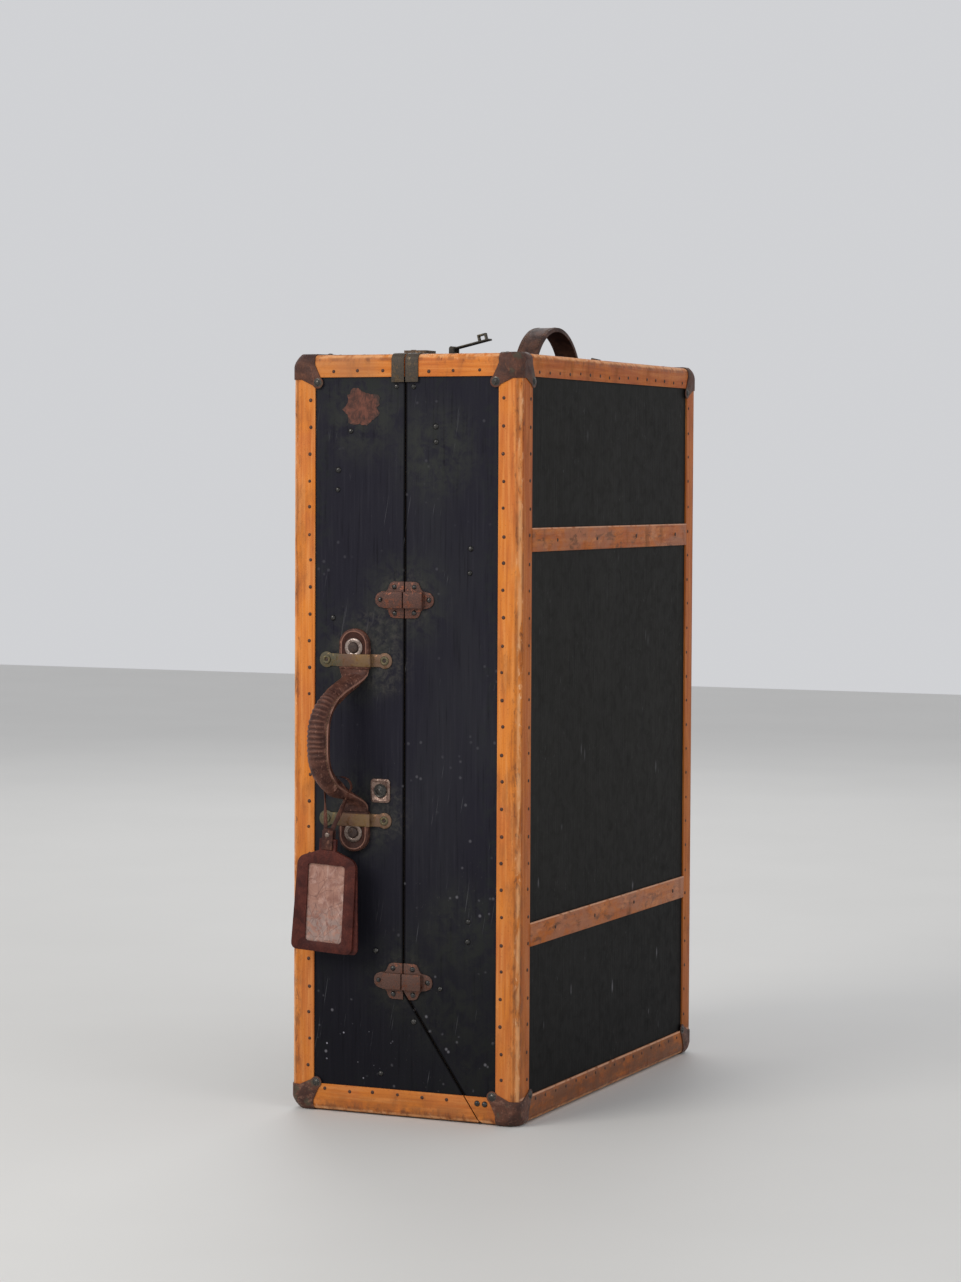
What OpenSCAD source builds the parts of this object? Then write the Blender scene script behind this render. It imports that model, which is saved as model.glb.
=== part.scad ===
// Standing travel trunk in two hinged halves, with leather caps, fibre bindings, carry handle and tag.
// X runs across the thickness, Y from the narrow front to the back, Z up the long side.
// The origin is on the floor, under the middle of the case.

/* [Case] */
// Thickness over both halves
case_w = 235; // [222:1:270]
// Depth from the narrow front to the back
case_d = 457; // [400:1:520]
// Height as it stands on its end
case_h = 711; // [680:1:780]
// Radius of the rounded edges
edge_r = 7; // [6:0.5:9]
// Reach of the rounding at each corner
corner_r = 18; // [16:0.5:22]

/* [Walls] */
// Thickness of the leather caps over the bindings
cap_t = 1; // [0.8:0.1:1.4]
// Thickness of the fibre bindings over the covering
binding_t = 1.6; // [1.2:0.1:2.2]
// Thickness of the covering
cover_t = 1; // [0.8:0.1:1.4]
// Thickness of the plywood
ply_t = 6; // [5:0.5:8]
// Thickness of the lining
lining_t = 0.8; // [0.6:0.1:1.2]

/* [Seam] */
// Seam place across the front, from the middle
seam_x = -1; // [-5:0.5:5]
// Gap between the halves
seam_gap = 1.2; // [1:0.1:1.6]
// Height at which the seam turns diagonal
kink_z = 119; // [114:1:122]
// Hinge axis place, in from the large right side
pivot_in = 40.5; // [38:0.5:46]

/* [Bottom hinges] */
// Length of each hinge along the case
hinge_len = 70; // [50:1:90]
// Distance of each hinge from the middle
hinge_y = 110; // [90:1:140]
// Radius of the hinge barrels
barrel_r = 2.4; // [2.2:0.1:2.5]
// Radius of the hinge pins
hinge_pin_r = 1.2; // [1:0.1:1.4]
// Thickness of the hinge leaves
leaf_t = 1.2; // [1:0.1:1.3]
// Reach of the base leaves from the axis
leaf_reach = 16; // [12:1:22]

/* [Bindings] */
// Width of the upright bindings on the narrow faces
band_upright = 24; // [20:0.5:28]
// Width of the upright bindings on the large sides
band_side = 26; // [20:0.5:30]
// Width of the bindings along the top
band_top = 22; // [18:0.5:26]
// Width of the bindings along the bottom
band_bottom = 26; // [20:0.5:30]
// Spacing of the tacks
tack_pitch = 25; // [18:0.5:34]
// Radius of the tack heads
tack_r = 1.6; // [1.2:0.1:2]
// Height of the tack heads
tack_h = 0.5; // [0.3:0.1:0.8]
// Distance of the tacks from the inner edge of a binding
tack_in = 5; // [4:0.5:7]

/* [Corner caps] */
// Reach of a cap along the edges
cap_leg = 24; // [20:0.5:28]
// Place of the riveted lobe along both edges
cap_lobe = 27; // [25:0.5:32]
// Radius of the riveted lobe
cap_lobe_r = 5.5; // [4.5:0.5:7]
// Radius of the dome rivets
rivet_r = 3; // [2.4:0.1:3.4]
// Height of the dome rivets
rivet_h = 1.2; // [0.8:0.1:1.6]

/* [Slats] */
// Width of the slats on the large sides
slat_w = 22; // [18:0.5:28]
// Thickness of the slats
slat_t = 2.4; // [2:0.1:4]
// Height of the upper slat's middle
slat_upper_z = 539.5; // [480:0.5:600]
// Height of the lower slat's middle
slat_lower_z = 175.5; // [120:0.5:240]

/* [Dowel plates] */
// Height of the upper dowel
dowel_upper_z = 483; // [470:1:560]
// Height of the lower dowel, from the turn of the seam
dowel_above_kink = 9; // [8:0.5:14]
// Half height of a dowel plate
dowel_half = 17; // [15:0.5:20]
// Reach of a dowel plate from the seam
dowel_reach = 30; // [26:0.5:34]
// Thickness of the plates
plate_t = 1.2; // [1:0.1:1.6]
// Height of the dowel housings over the covering
housing_h = 5.6; // [5.2:0.1:7]

/* [Carry handle] */
// Handle place across the front, from the middle
handle_x = -51; // [-56:0.5:-48]
// Height of the handle's middle
handle_z = 351.5; // [340:0.5:380]
// Distance between the two brackets
handle_span = 149; // [140:1:160]
// Stand-off of the grip
grip_out = 47; // [40:0.5:52]
// Radius of the grip at its middle
grip_r = 11; // [9:0.5:13]
// Lean of the grip towards the left
grip_lean = 18; // [0:1:30]
// Thickness of the leather tabs
tab_t = 5; // [5:0.1:6]
// Radius of the pins that the grip swings on
handle_pin_r = 1.2; // [1:0.1:1.4]

/* [Luggage tag] */
// Width of the tag
tag_w = 60; // [54:0.5:64]
// Height of the tag below its shoulders
tag_h = 87; // [80:0.5:92]
// Thickness of each leather leaf
tag_leaf_t = 1.8; // [1.4:0.1:2.4]
// Roll of the hanging tag
tag_roll = 3; // [0:1:8]

/* [Trunk hasps] */
// Distance of each hasp from the middle
hasp_y = 140; // [110:1:160]
// Length of the hasp bar
hasp_len = 38; // [36:0.5:38]
// Rise of the open hasp, in degrees
hasp_rise = 13; // [8:1:20]
// Sag of the back hasp, which lies on the covering, in degrees
hasp_sag = 12; // [6:0.5:12.5]
// Height of the lock cases over the covering
lock_h = 8; // [7.8:0.1:9]

/* [End handle] */
// Place of the strap handle across the top end
end_x = 46; // [42:0.5:56]
// Width of the strap
end_w = 22; // [18:0.5:26]
// Rise of the strap over the case
end_rise = 32; // [28:0.5:38]
// Half the span of the arch
end_half = 55; // [50:0.5:58]
// Thickness of the strap
end_t = 4; // [3:0.1:5]

/* [Hanging rail] */
// Rail place across the lid
rail_x = 30; // [26:0.5:40]
// Drop of the rail below the top of the case
rail_drop = 75; // [62:1:110]
// Radius of the rail
rail_r = 6; // [4:0.5:8]

/* [Hidden] */
$fn = 48;

// Depths of the layers below the outermost surface
at_binding = cap_t;
at_cover = cap_t + binding_t;
at_ply = at_cover + cover_t;
at_lining = at_ply + ply_t;
at_inside = at_lining + lining_t;

// Small gaps and overlaps used throughout
run_gap = 0.05;
move_gap = 0.4;
cut = 1;

half_w = case_w / 2;
half_d = case_d / 2;
far = case_w + case_d + case_h;

// Seam, hinge axis and the lines of both zones
pivot_x = half_w - pivot_in;
pivot_z = at_cover - leaf_t + 1.6;
half_gap = seam_gap / 2;
diagonal = [pivot_x - seam_x, pivot_z - kink_z];
diagonal_n = [-diagonal[1], diagonal[0]] / norm(diagonal);
base_relief_n = [1, -1] / sqrt(2);
lid_relief_n = [-1, -1] / sqrt(2);

// Where two lines meet, each given by its normal and its distance from the hinge axis
function crossing(n, a, m, b) =
    [pivot_x, pivot_z] + [a * m[1] - b * n[1], b * n[0] - a * m[0]] / (n[0] * m[1] - n[1] * m[0]);
function kink(side) = [seam_x + side * half_gap,
    kink_z + side * half_gap * (1 - diagonal_n[0]) / diagonal_n[1]];
base_heel = crossing(diagonal_n, -half_gap, base_relief_n, -half_gap);
lid_heel = crossing(diagonal_n, half_gap, lid_relief_n, -half_gap);

module base_outline() polygon([[-far, far], [seam_x - half_gap, far], kink(-1), base_heel,
    [base_heel[0] - far, base_heel[1] - far], [-far, -far]]);
module lid_outline() polygon([[far, far], [seam_x + half_gap, far], kink(1), lid_heel,
    [lid_heel[0] + far, lid_heel[1] - far]]);
module across(length) rotate([90, 0, 0]) linear_extrude(length, center = true) children();
module in_base() intersection() { children(); across(2 * case_d) base_outline(); }
module in_lid() intersection() { children(); across(2 * case_d) lid_outline(); }

// Places on the faces: the child's +Z points out of the face, inset below the outermost surface
module on_front(x, z, inset) translate([x, -half_d + inset, z]) rotate([90, 0, 0]) children();
module on_right(y, z, inset) translate([half_w - inset, y, z]) rotate([90, 0, 90]) children();
module on_top(x, y, inset) translate([x, y, case_h - inset]) children();
module both_ends() { children(); mirror([0, 1, 0]) children(); }
module flip_x() mirror([1, 0, 0]) children();

module round_rect(w, h, r) {
    square([w - 2 * r, h], center = true);
    square([w, h - 2 * r], center = true);
    for (sx = [-1, 1], sy = [-1, 1]) translate([sx * (w / 2 - r), sy * (h / 2 - r)]) circle(r);
}

// Radius of the ball that rounds a corner at a depth
bulge = 0.35;
function ball_r(inset) =
    sqrt(2) * (corner_r - inset - (edge_r - inset) * (1 - 1 / sqrt(2))) + bulge;

module corner_waste(inset) {
    for (sx = [-1, 1], sy = [-1, 1], top = [0, 1])
        translate([sx * half_w, sy * half_d, top * case_h])
            mirror([sx > 0 ? 1 : 0, 0, 0]) mirror([0, sy > 0 ? 1 : 0, 0]) mirror([0, 0, top])
                difference() {
                    translate([-cut, -cut, -cut]) cube(corner_r + cut);
                    translate([corner_r, corner_r, corner_r]) sphere(ball_r(inset));
                }
}

// The whole case with rounded edges, at a depth below its outermost surface
module rounded_case(inset) {
    w = case_w - 2 * inset;
    d = case_d - 2 * inset;
    h = case_h - 2 * inset;
    r = edge_r - inset;
    difference() {
        translate([0, 0, case_h / 2]) intersection() {
            linear_extrude(h, center = true) round_rect(w, d, r);
            rotate([90, 0, 0]) linear_extrude(d, center = true) round_rect(w, h, r);
            rotate([90, 0, 90]) linear_extrude(w, center = true) round_rect(d, h, r);
        }
        corner_waste(inset);
    }
}
module square_case(inset) translate([-half_w + inset, -half_d + inset, inset])
    cube([case_w - 2 * inset, case_d - 2 * inset, case_h - 2 * inset]);

// A flattened dome, flat side down
module dome(r, h) {
    ball = (r * r + h * h) / (2 * h);
    intersection() {
        translate([0, 0, h - ball]) sphere(ball);
        cylinder(h = 2 * h, r = 2 * r);
    }
}
module rod(from, to, r) {
    along = to - from;
    translate(from) rotate([0, acos(along[2] / norm(along)), atan2(along[1], along[0])])
        cylinder(h = norm(along), r = r);
}

// Plywood panels: the large side takes the full depth and height, the walls stand between
inner_w = half_w - at_lining;
inner_d = half_d - at_lining;
module ply(low, high) intersection() {
    rounded_case(at_ply);
    translate(low) cube(high - low);
}
module side_ply() ply([inner_w, -half_d, 0], [half_w, half_d, case_h]);
module front_ply() ply([-inner_w, -half_d, 0], [inner_w, -inner_d, case_h]);
module top_ply() ply([-inner_w, -inner_d, case_h - at_lining], [inner_w, inner_d, case_h]);
module bottom_ply() difference() {
    ply([-inner_w, -inner_d, 0], [inner_w, inner_d, at_lining]);
    hinge_channel();
}
module cover_skin() difference() {
    rounded_case(at_cover);
    rounded_case(at_ply);
    hinge_channel();
}
module lining_skin() difference() {
    square_case(at_lining);
    square_case(at_inside);
}

module base_side_panel() color("burlywood") flip_x() side_ply();
module base_front_wall() color("burlywood") in_base() front_ply();
module base_back_wall() color("burlywood") in_base() mirror([0, 1, 0]) front_ply();
module base_top_end() color("burlywood") in_base() top_ply();
module base_bottom_end() color("burlywood") in_base() bottom_ply();
module lid_side_panel() color("burlywood") side_ply();
module lid_front_wall() color("burlywood") in_lid() front_ply();
module lid_back_wall() color("burlywood") in_lid() mirror([0, 1, 0]) front_ply();
module lid_top_end() color("burlywood") in_lid() top_ply();
module lid_bottom_end() color("burlywood") in_lid() bottom_ply();
module base_cover() color([0.13, 0.13, 0.16]) in_base() cover_skin();
module lid_cover() color([0.13, 0.13, 0.16]) in_lid() cover_skin();
module base_lining() color("tan") in_base() lining_skin();
module lid_lining() color("tan") in_lid() lining_skin();

// Bindings: a skin over the covering with a window on each face
module binding_skin() difference() {
    rounded_case(at_binding);
    rounded_case(at_cover);
    translate([-far, -half_d + band_side, band_bottom])
        cube([2 * far, case_d - 2 * band_side, case_h - band_bottom - band_top]);
    translate([-half_w + band_upright, -far, band_bottom])
        cube([case_w - 2 * band_upright, 2 * far, case_h - band_bottom - band_top]);
    translate([-half_w + band_side, -half_d + band_top, -far])
        cube([case_w - 2 * band_side, case_d - 2 * band_top, 3 * far]);
}
module base_binding() color([0.8, 0.48, 0.24]) in_base() binding_skin();
module lid_binding() color([0.8, 0.48, 0.24]) in_lid() binding_skin();

// Tacks in a row, evenly spaced about the middle of a stretch
module tack_row(from, to) {
    count = floor((to - from) / tack_pitch);
    for (i = [0:count]) translate([(from + to) / 2 + (i - count / 2) * tack_pitch, 0, 0])
        cylinder(h = tack_h, r = tack_r, $fn = 16);
}
tack_clear = cap_lobe + cap_lobe_r + tack_r + cut;
module turned_row(from, to) rotate([0, 0, 90]) tack_row(from, to);

// Rows on the large right side and on the right half of the other faces
module side_tacks() {
    for (sy = [-1, 1]) on_right(sy * (half_d - band_side + tack_in), 0, at_binding)
        turned_row(tack_clear, case_h - tack_clear);
    for (z = [band_bottom - tack_in, case_h - band_top + tack_in]) on_right(0, z, at_binding)
        tack_row(tack_clear - half_d, half_d - tack_clear);
}
module narrow_upright_tacks() both_ends() on_front(half_w - band_upright + tack_in, 0, at_binding)
    turned_row(tack_clear, case_h - tack_clear);
module narrow_tacks(from, to, z) both_ends() on_front(0, z, at_binding) tack_row(from, to);
module end_tacks(from, to) both_ends() {
    on_top(0, half_d - band_top + tack_in, at_binding) tack_row(from, to);
}
ferrule_w = 13;
seam_clear = ferrule_w + tack_r + cut;
module base_tacks() color([0.25, 0.15, 0.1]) {
    flip_x() side_tacks();
    flip_x() narrow_upright_tacks();
    narrow_tacks(tack_clear - half_w, seam_x - seam_clear, case_h - band_top + tack_in);
    narrow_tacks(tack_clear - half_w, pivot_x - leaf_reach - seam_clear, band_bottom - tack_in);
    end_tacks(tack_clear - half_w, seam_x - seam_clear);
    flip_x() on_top(half_w - band_side + tack_in, 0, at_binding)
        turned_row(tack_clear - half_d, half_d - tack_clear);
}
module lid_tacks() color([0.25, 0.15, 0.1]) {
    side_tacks();
    narrow_upright_tacks();
    narrow_tacks(seam_x + seam_clear, half_w - tack_clear, case_h - band_top + tack_in);
    end_tacks(seam_x + seam_clear, half_w - tack_clear);
    on_top(half_w - band_side + tack_in, 0, at_binding)
        turned_row(tack_clear - half_d, half_d - tack_clear);
}

// Corner caps: the outline of a cap on one face, its corner at the origin
cap_neck = 10;
module cap_face() linear_extrude(edge_r + cut) {
    square(cap_leg);
    polygon([[cap_leg - cap_neck, cap_neck], [cap_leg, cap_neck], [cap_lobe + cap_lobe_r * 0.9, cap_lobe],
        [cap_lobe, cap_lobe + cap_lobe_r * 0.9], [cap_neck, cap_leg], [cap_neck, cap_leg - cap_neck]]);
    translate([cap_lobe, cap_lobe]) circle(cap_lobe_r);
}
module cap_shape() {
    cap_face();
    rotate([90, 0, 90]) cap_face();
    mirror([0, 1, 0]) rotate([90, 0, 0]) cap_face();
}
module right_corners(tops = [0, 1]) for (sy = [0, 1], top = tops)
    translate([half_w, (2 * sy - 1) * half_d, top * case_h])
        mirror([0, sy, 0]) mirror([0, 0, top]) mirror([1, 0, 0]) children();
module caps() intersection() {
    difference() {
        rounded_case(0);
        rounded_case(cap_t);
    }
    right_corners() cap_shape();
}
// On the bottom the rivets would lift the case, so only the upright faces and the top have them
module cap_rivet_set() {
    right_corners() {
        translate([cap_lobe, 0, cap_lobe]) rotate([90, 0, 0]) dome(rivet_r, rivet_h);
        translate([0, cap_lobe, cap_lobe]) rotate([0, -90, 0]) dome(rivet_r, rivet_h);
    }
    right_corners([1]) translate([cap_lobe, cap_lobe, 0]) rotate([180, 0, 0]) dome(rivet_r, rivet_h);
}
module base_corner_caps() color([0.35, 0.24, 0.2]) flip_x() caps();
module lid_corner_caps() color([0.35, 0.24, 0.2]) caps();
module base_cap_rivets() color([0.3, 0.25, 0.22]) flip_x() cap_rivet_set();
module lid_cap_rivets() color([0.3, 0.25, 0.22]) cap_rivet_set();

// Slats lie on the covering between the upright bindings of the large sides
slat_len = case_d - 2 * band_side;
module slats() for (z = [slat_upper_z, slat_lower_z]) on_right(0, z, at_cover)
    translate([-slat_len / 2, -slat_w / 2, 0]) cube([slat_len, slat_w, slat_t]);
nail_ys = [-143, -44, 60, 169];
nail_r = 2;
nail_h = 0.8;
module slat_nails() for (z = [slat_upper_z, slat_lower_z], y = nail_ys)
    on_right(y, z, at_cover - slat_t) dome(nail_r, nail_h);
// The case stands on this runner and on its caps
runner_len = case_d - 2 * band_top;
module runner() translate([-slat_w / 2, -runner_len / 2, 0]) cube([slat_w, runner_len, at_cover]);
module base_slats() color([0.6, 0.4, 0.26]) {
    flip_x() slats();
    runner();
}
module lid_slats() color([0.6, 0.4, 0.26]) slats();
module base_slat_nails() color([0.25, 0.2, 0.18]) flip_x() slat_nails();
module lid_slat_nails() color([0.25, 0.2, 0.18]) slat_nails();

// Dowel plates: pointed plates either side of the seam, with a raised housing
dowel_lower_z = kink_z + dowel_above_kink;
dowel_zs = [dowel_upper_z, dowel_lower_z];
housing_len = 19;
housing_half = 7.5;
tongue_low = -3.2;
tongue_high = 2.2;
tongue_in = 4.6;
tongue_wall = 1;
rivet_from_tip = 5;
rivet_from_edge = 5;
small_rivet_r = 2.2;
small_rivet_h = 1;
// Half of a three-lobed plate, from the seam to its tip, as shares of its reach and half height
dowel_profile = [[0, 1], [0.36, 1], [0.47, 0.93], [0.52, 0.78], [0.56, 0.6], [0.64, 0.48], [0.78, 0.44],
    [0.9, 0.36], [0.98, 0.2]];
module dowel_plate() polygon(concat(
    [for (p = dowel_profile) [dowel_reach * p[0], dowel_half * p[1]]], [[dowel_reach, 0]],
    [for (i = [len(dowel_profile) - 1:-1:0])
        [dowel_reach * dowel_profile[i][0], -dowel_half * dowel_profile[i][1]]]));
module dowel_side() {
    linear_extrude(plate_t) dowel_plate();
    translate([half_gap, -housing_half, 0]) cube([housing_len, 2 * housing_half, housing_h]);
}
module at_dowels() both_ends() for (z = dowel_zs) on_front(seam_x, z, at_cover) children();
// The pocket leaves room for the tongue to rise as the lid turns away
pocket_gap = 0.4;
tongue_rise = tongue_in * (pivot_x - seam_x) / (dowel_lower_z - pivot_z) + pocket_gap;
module base_dowel_housings() color([0.45, 0.28, 0.22]) in_base() at_dowels() difference() {
    flip_x() dowel_side();
    translate([-half_gap - tongue_in - pocket_gap, tongue_low - pocket_gap, plate_t])
        cube([tongue_in + pocket_gap + cut,
            tongue_high - tongue_low + tongue_rise + 2 * pocket_gap, housing_h - plate_t - tongue_wall]);
}
module lid_dowel_tongues() color([0.45, 0.28, 0.22]) {
    in_lid() at_dowels() dowel_side();
    at_dowels() translate([-half_gap - tongue_in, tongue_low, plate_t + pocket_gap])
        cube([tongue_in + 2 * half_gap, tongue_high - tongue_low,
            housing_h - plate_t - tongue_wall - 2 * pocket_gap]);
}
module dowel_rivets() {
    translate([dowel_reach - rivet_from_tip, 0, plate_t]) dome(small_rivet_r, small_rivet_h);
    for (s = [-1, 1]) translate([2 * rivet_from_edge, s * (dowel_half - rivet_from_edge), plate_t])
        dome(small_rivet_r, small_rivet_h);
}
module base_dowel_rivets() color([0.3, 0.2, 0.17]) at_dowels() flip_x() dowel_rivets();
module lid_dowel_rivets() color([0.3, 0.2, 0.17]) at_dowels() dowel_rivets();

// Ferrules close the bindings either side of the seam, over the top edge
ferrule_drop = 27;
ferrule_back = 24;
module ferrules(low) both_ends() intersection() {
    difference() {
        rounded_case(0);
        rounded_case(cap_t);
    }
    translate([low, -half_d - cut, case_h - ferrule_drop])
        cube([ferrule_w, ferrule_back + cut, ferrule_drop + cut]);
}
module base_ferrules() color([0.3, 0.27, 0.2]) ferrules(seam_x - half_gap - ferrule_w);
module lid_ferrules() color([0.3, 0.27, 0.2]) ferrules(seam_x + half_gap);

// Dome rivets in the narrow walls, as [place across, height]
rail_z = case_h - rail_drop;
ferrule_rivet_z = case_h - ferrule_drop - 4;
base_rivet_places = [[-70, case_h - 108.1], [-70, case_h - 126.7], [-74.9, dowel_upper_z - 18.1],
    [-57.2, case_h - 72], [-29.2, dowel_lower_z + 27], [9.7, dowel_lower_z - 36.9],
    [-23.6, band_bottom + 14], [seam_x - 9, ferrule_rivet_z]];
lid_rivet_places = [[rail_x, rail_z + 7], [rail_x, rail_z - 7], [65.4, slat_upper_z - 8.4],
    [65, slat_upper_z - 30.4], [64.7, slat_lower_z + 12.2], [64.2, slat_lower_z - 6.3],
    [36.1, dowel_lower_z - 4.3], [seam_x + 8, ferrule_rivet_z]];
heel_rivet_places = [[pivot_x - 2, band_bottom - 6], [pivot_x + 6, band_bottom - 6]];
module wall_rivets(places, inset) both_ends() for (p = places) on_front(p[0], p[1], inset)
    dome(rivet_r, rivet_h);
module base_wall_rivets() color([0.3, 0.25, 0.22]) wall_rivets(base_rivet_places, at_cover);
module lid_wall_rivets() color([0.3, 0.25, 0.22]) {
    wall_rivets(lid_rivet_places, at_cover);
    wall_rivets(heel_rivet_places, at_binding);
}

// Worn patch of an old label
patch_x = -45;
patch_z = case_h - 50;
patch_half = 17;
patch_t = 0.3;
patch_profile = [[-0.8, 0.7], [-0.2, 1], [0.9, 0.55], [1, -0.3], [0.3, -1], [-0.7, -0.8], [-1, -0.1]];
module label_patch() color([0.45, 0.28, 0.25]) on_front(patch_x, patch_z, at_cover)
    linear_extrude(patch_t) polygon([for (p = patch_profile) patch_half * p]);

// Carry handle: brackets hold leather tabs, and pins in the tabs carry the grip
bracket_w = 75;
bracket_half = 6;
lobe_r = 7.5;
bridge_w = 35;
bridge_wall = 1.6;
tab_w = 30;
tab_overhang = 2;
tab_tail = 22;
eyelet_r = 4;
eyelet_hole_r = 1.4;
stud_r = 5.5;
stud_h = 3;
stud_out = bracket_half + stud_r + 0.3;
axis_off = 3.6;
sleeve_r = 3.2;
sleeve_len = 6;
pin_in_tab = 6;
axis_y = -half_d + at_cover - axis_off;
// Places the upper bracket's frame on the front, with the lower one its mirror image
module at_brackets() for (s = [0, 1]) translate([0, 0, handle_z]) mirror([0, 0, s])
    translate([handle_x, -half_d + at_cover, handle_span / 2]) rotate([90, 0, 0]) children();
module bracket() difference() {
    union() {
        translate([-bracket_w / 2 + lobe_r, -bracket_half, 0])
            cube([bracket_w - 2 * lobe_r, 2 * bracket_half, plate_t]);
        for (s = [-1, 1]) translate([s * (bracket_w / 2 - lobe_r), 0, 0])
            cylinder(h = plate_t, r = lobe_r);
        translate([-bridge_w / 2, -bracket_half, 0])
            cube([bridge_w, 2 * bracket_half, tab_t + bridge_wall]);
    }
    translate([-tab_w / 2, -bracket_half - cut, -cut]) cube([tab_w, 2 * (bracket_half + cut), tab_t + cut]);
}
module handle_brackets() color([0.43, 0.36, 0.24]) at_brackets() bracket();
module bracket_rivets() color([0.5, 0.45, 0.35]) at_brackets()
    for (s = [-1, 1]) translate([s * (bracket_w / 2 - lobe_r), 0, plate_t]) difference() {
        cylinder(h = small_rivet_h, r = eyelet_r, $fn = 96);
        translate([0, 0, small_rivet_h / 2]) cylinder(h = small_rivet_h, r = eyelet_hole_r, $fn = 96);
    }
tab_low = -bracket_half - tab_overhang;
module handle_tabs() color([0.32, 0.2, 0.16]) at_brackets() difference() {
    union() {
        translate([-tab_w / 2, tab_low, 0]) cube([tab_w, tab_tail - tab_low - tab_w / 4, tab_t]);
        translate([0, tab_tail - tab_w / 4, 0]) intersection() {
            cylinder(h = tab_t, r = tab_w / 2);
            translate([-tab_w, 0, 0]) cube([2 * tab_w, tab_w, tab_t]);
        }
    }
    translate([0, tab_low - cut, axis_off]) rotate([-90, 0, 0])
        cylinder(h = pin_in_tab + cut, r = handle_pin_r);
}
module tab_studs() color([0.45, 0.42, 0.38]) at_brackets() translate([0, stud_out, tab_t])
    dome(stud_r, stud_h);
module handle_pins() color("silver") at_brackets()
    translate([0, tab_low - move_gap - sleeve_len + cut, axis_off]) rotate([-90, 0, 0])
        cylinder(h = sleeve_len + move_gap + pin_in_tab - cut, r = handle_pin_r);
module grip_sleeves() color([0.4, 0.33, 0.22]) at_brackets()
    translate([0, tab_low - move_gap - sleeve_len, axis_off]) rotate([-90, 0, 0]) difference() {
        cylinder(h = sleeve_len, r = sleeve_r);
        translate([0, 0, -cut]) cylinder(h = sleeve_len + 2 * cut, r = handle_pin_r + run_gap);
    }

// The grip is a leaning arch of round section, thickest at its middle
grip_half = handle_span / 2 + tab_low - 2 * move_gap - sleeve_len - sleeve_r;
grip_rings = 24;
grip_sides = 16;
grip_bow = 3;
function grip_centre(a) = [grip_out * (1 - pow(abs(cos(a)), grip_bow)), grip_half * cos(a)];
function grip_slope(a) = grip_bow * grip_out * sign(cos(a)) * pow(abs(cos(a)), grip_bow - 1);
function grip_normal(a) = [grip_half, grip_slope(a)] / norm([grip_half, grip_slope(a)]);
function grip_radius(a) = sleeve_r + (grip_r - sleeve_r) * sin(a);
function grip_point(a, b) = let (c = grip_centre(a), n = grip_normal(a), r = grip_radius(a),
    out = c[0] + r * cos(b) * n[0], side = r * sin(b)) [side, -out, c[1] + r * cos(b) * n[1]];
grip_points = [for (i = [0:grip_rings], j = [0:grip_sides - 1])
    grip_point(180 * i / grip_rings, 360 * j / grip_sides)];
function ring_point(i, j) = i * grip_sides + j % grip_sides;
grip_faces = concat(
    [for (i = [0:grip_rings - 1], j = [0:grip_sides - 1])
        [ring_point(i, j), ring_point(i, j + 1), ring_point(i + 1, j + 1), ring_point(i + 1, j)]],
    [[for (j = [grip_sides - 1:-1:0]) j], [for (j = [0:grip_sides - 1]) ring_point(grip_rings, j)]]);
module leaning() translate([handle_x, axis_y, handle_z]) rotate([0, 0, -grip_lean]) children();
module handle_grip() color([0.36, 0.22, 0.17]) leaning()
    polyhedron(points = grip_points, faces = grip_faces, convexity = 4);

// Square plate with a stud beside the lower bracket
snap_w = 19.6;
snap_h = 22;
snap_x = handle_x + 26;
snap_z = handle_z - 46.5;
module snap_plate() color([0.6, 0.58, 0.52]) on_front(snap_x, snap_z, at_cover)
    translate([-snap_w / 2, -snap_h / 2, 0]) cube([snap_w, snap_h, plate_t]);
module snap_stud() color([0.5, 0.42, 0.35]) on_front(snap_x, snap_z, at_cover - plate_t)
    dome(stud_r, stud_h);

// Luggage tag: its strap goes round the lower end of the grip
loop_at = 145;
loop_centre = grip_centre(loop_at);
loop_x = handle_x - loop_centre[0] * sin(grip_lean);
loop_y = axis_y - loop_centre[0] * cos(grip_lean);
strap_r = 1.3;
strap_gap = 3;
knot_r = strap_r + 0.4;
loop_r = grip_radius(loop_at) + 6;
// Half the height of the grip where the upright ring goes round its sloping end
loop_rise = grip_radius(loop_at) / abs(grip_normal(loop_at)[1]);
loop_top = handle_z + loop_centre[1] + loop_rise + strap_gap + strap_r;
loop_flat = 8;
loop_bend = loop_r - loop_flat / 2;
tag_drop = 66.2;
neck_z = loop_top - tag_drop;
tag_shift = 10;
tag_x = loop_x - tag_shift;
slot_w = 12;
slot_h = 4;
neck_w = 17;
neck_h = 11;
shoulder = 8;
card_rim = 3;
card_t = 0.6;
tail_w = 11;
tail_h = 14;
tag_y = loop_y;
module at_tag() translate([tag_x, tag_y, neck_z]) rotate([0, tag_roll, 0]) rotate([90, 0, 0]) children();
neck_drop = 3;
tag_top = -neck_drop;
tag_shoulder = tag_top - shoulder;
tag_foot = tag_shoulder - tag_h;
module tag_outline() {
    translate([-tag_w / 2, tag_foot]) square([tag_w, tag_h]);
    polygon([[tag_w / 2, tag_shoulder], [neck_w / 2, tag_top], [neck_w / 2, tag_top + neck_h],
        [-neck_w / 2, tag_top + neck_h], [-neck_w / 2, tag_top], [-tag_w / 2, tag_shoulder]]);
}
module tag_slot() translate([-slot_w / 2, -slot_h / 2]) square([slot_w, slot_h]);
window_side = 11;
window_foot = 9;
window_head = 5;
window_low = tag_foot + window_foot;
window_w = tag_w - 2 * window_side;
window_h = tag_h - window_foot - window_head;
module card_bed() translate([-window_w / 2 - card_rim, window_low - card_rim])
    square([window_w + 2 * card_rim, window_h + 2 * card_rim]);
module tag_back() color([0.3, 0.15, 0.15]) at_tag() translate([0, 0, -tag_leaf_t - card_t / 2])
    linear_extrude(tag_leaf_t) difference() { tag_outline(); tag_slot(); }
module tag_card() color([0.7, 0.6, 0.55]) at_tag() translate([0, 0, -card_t / 2])
    linear_extrude(card_t) card_bed();
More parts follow.
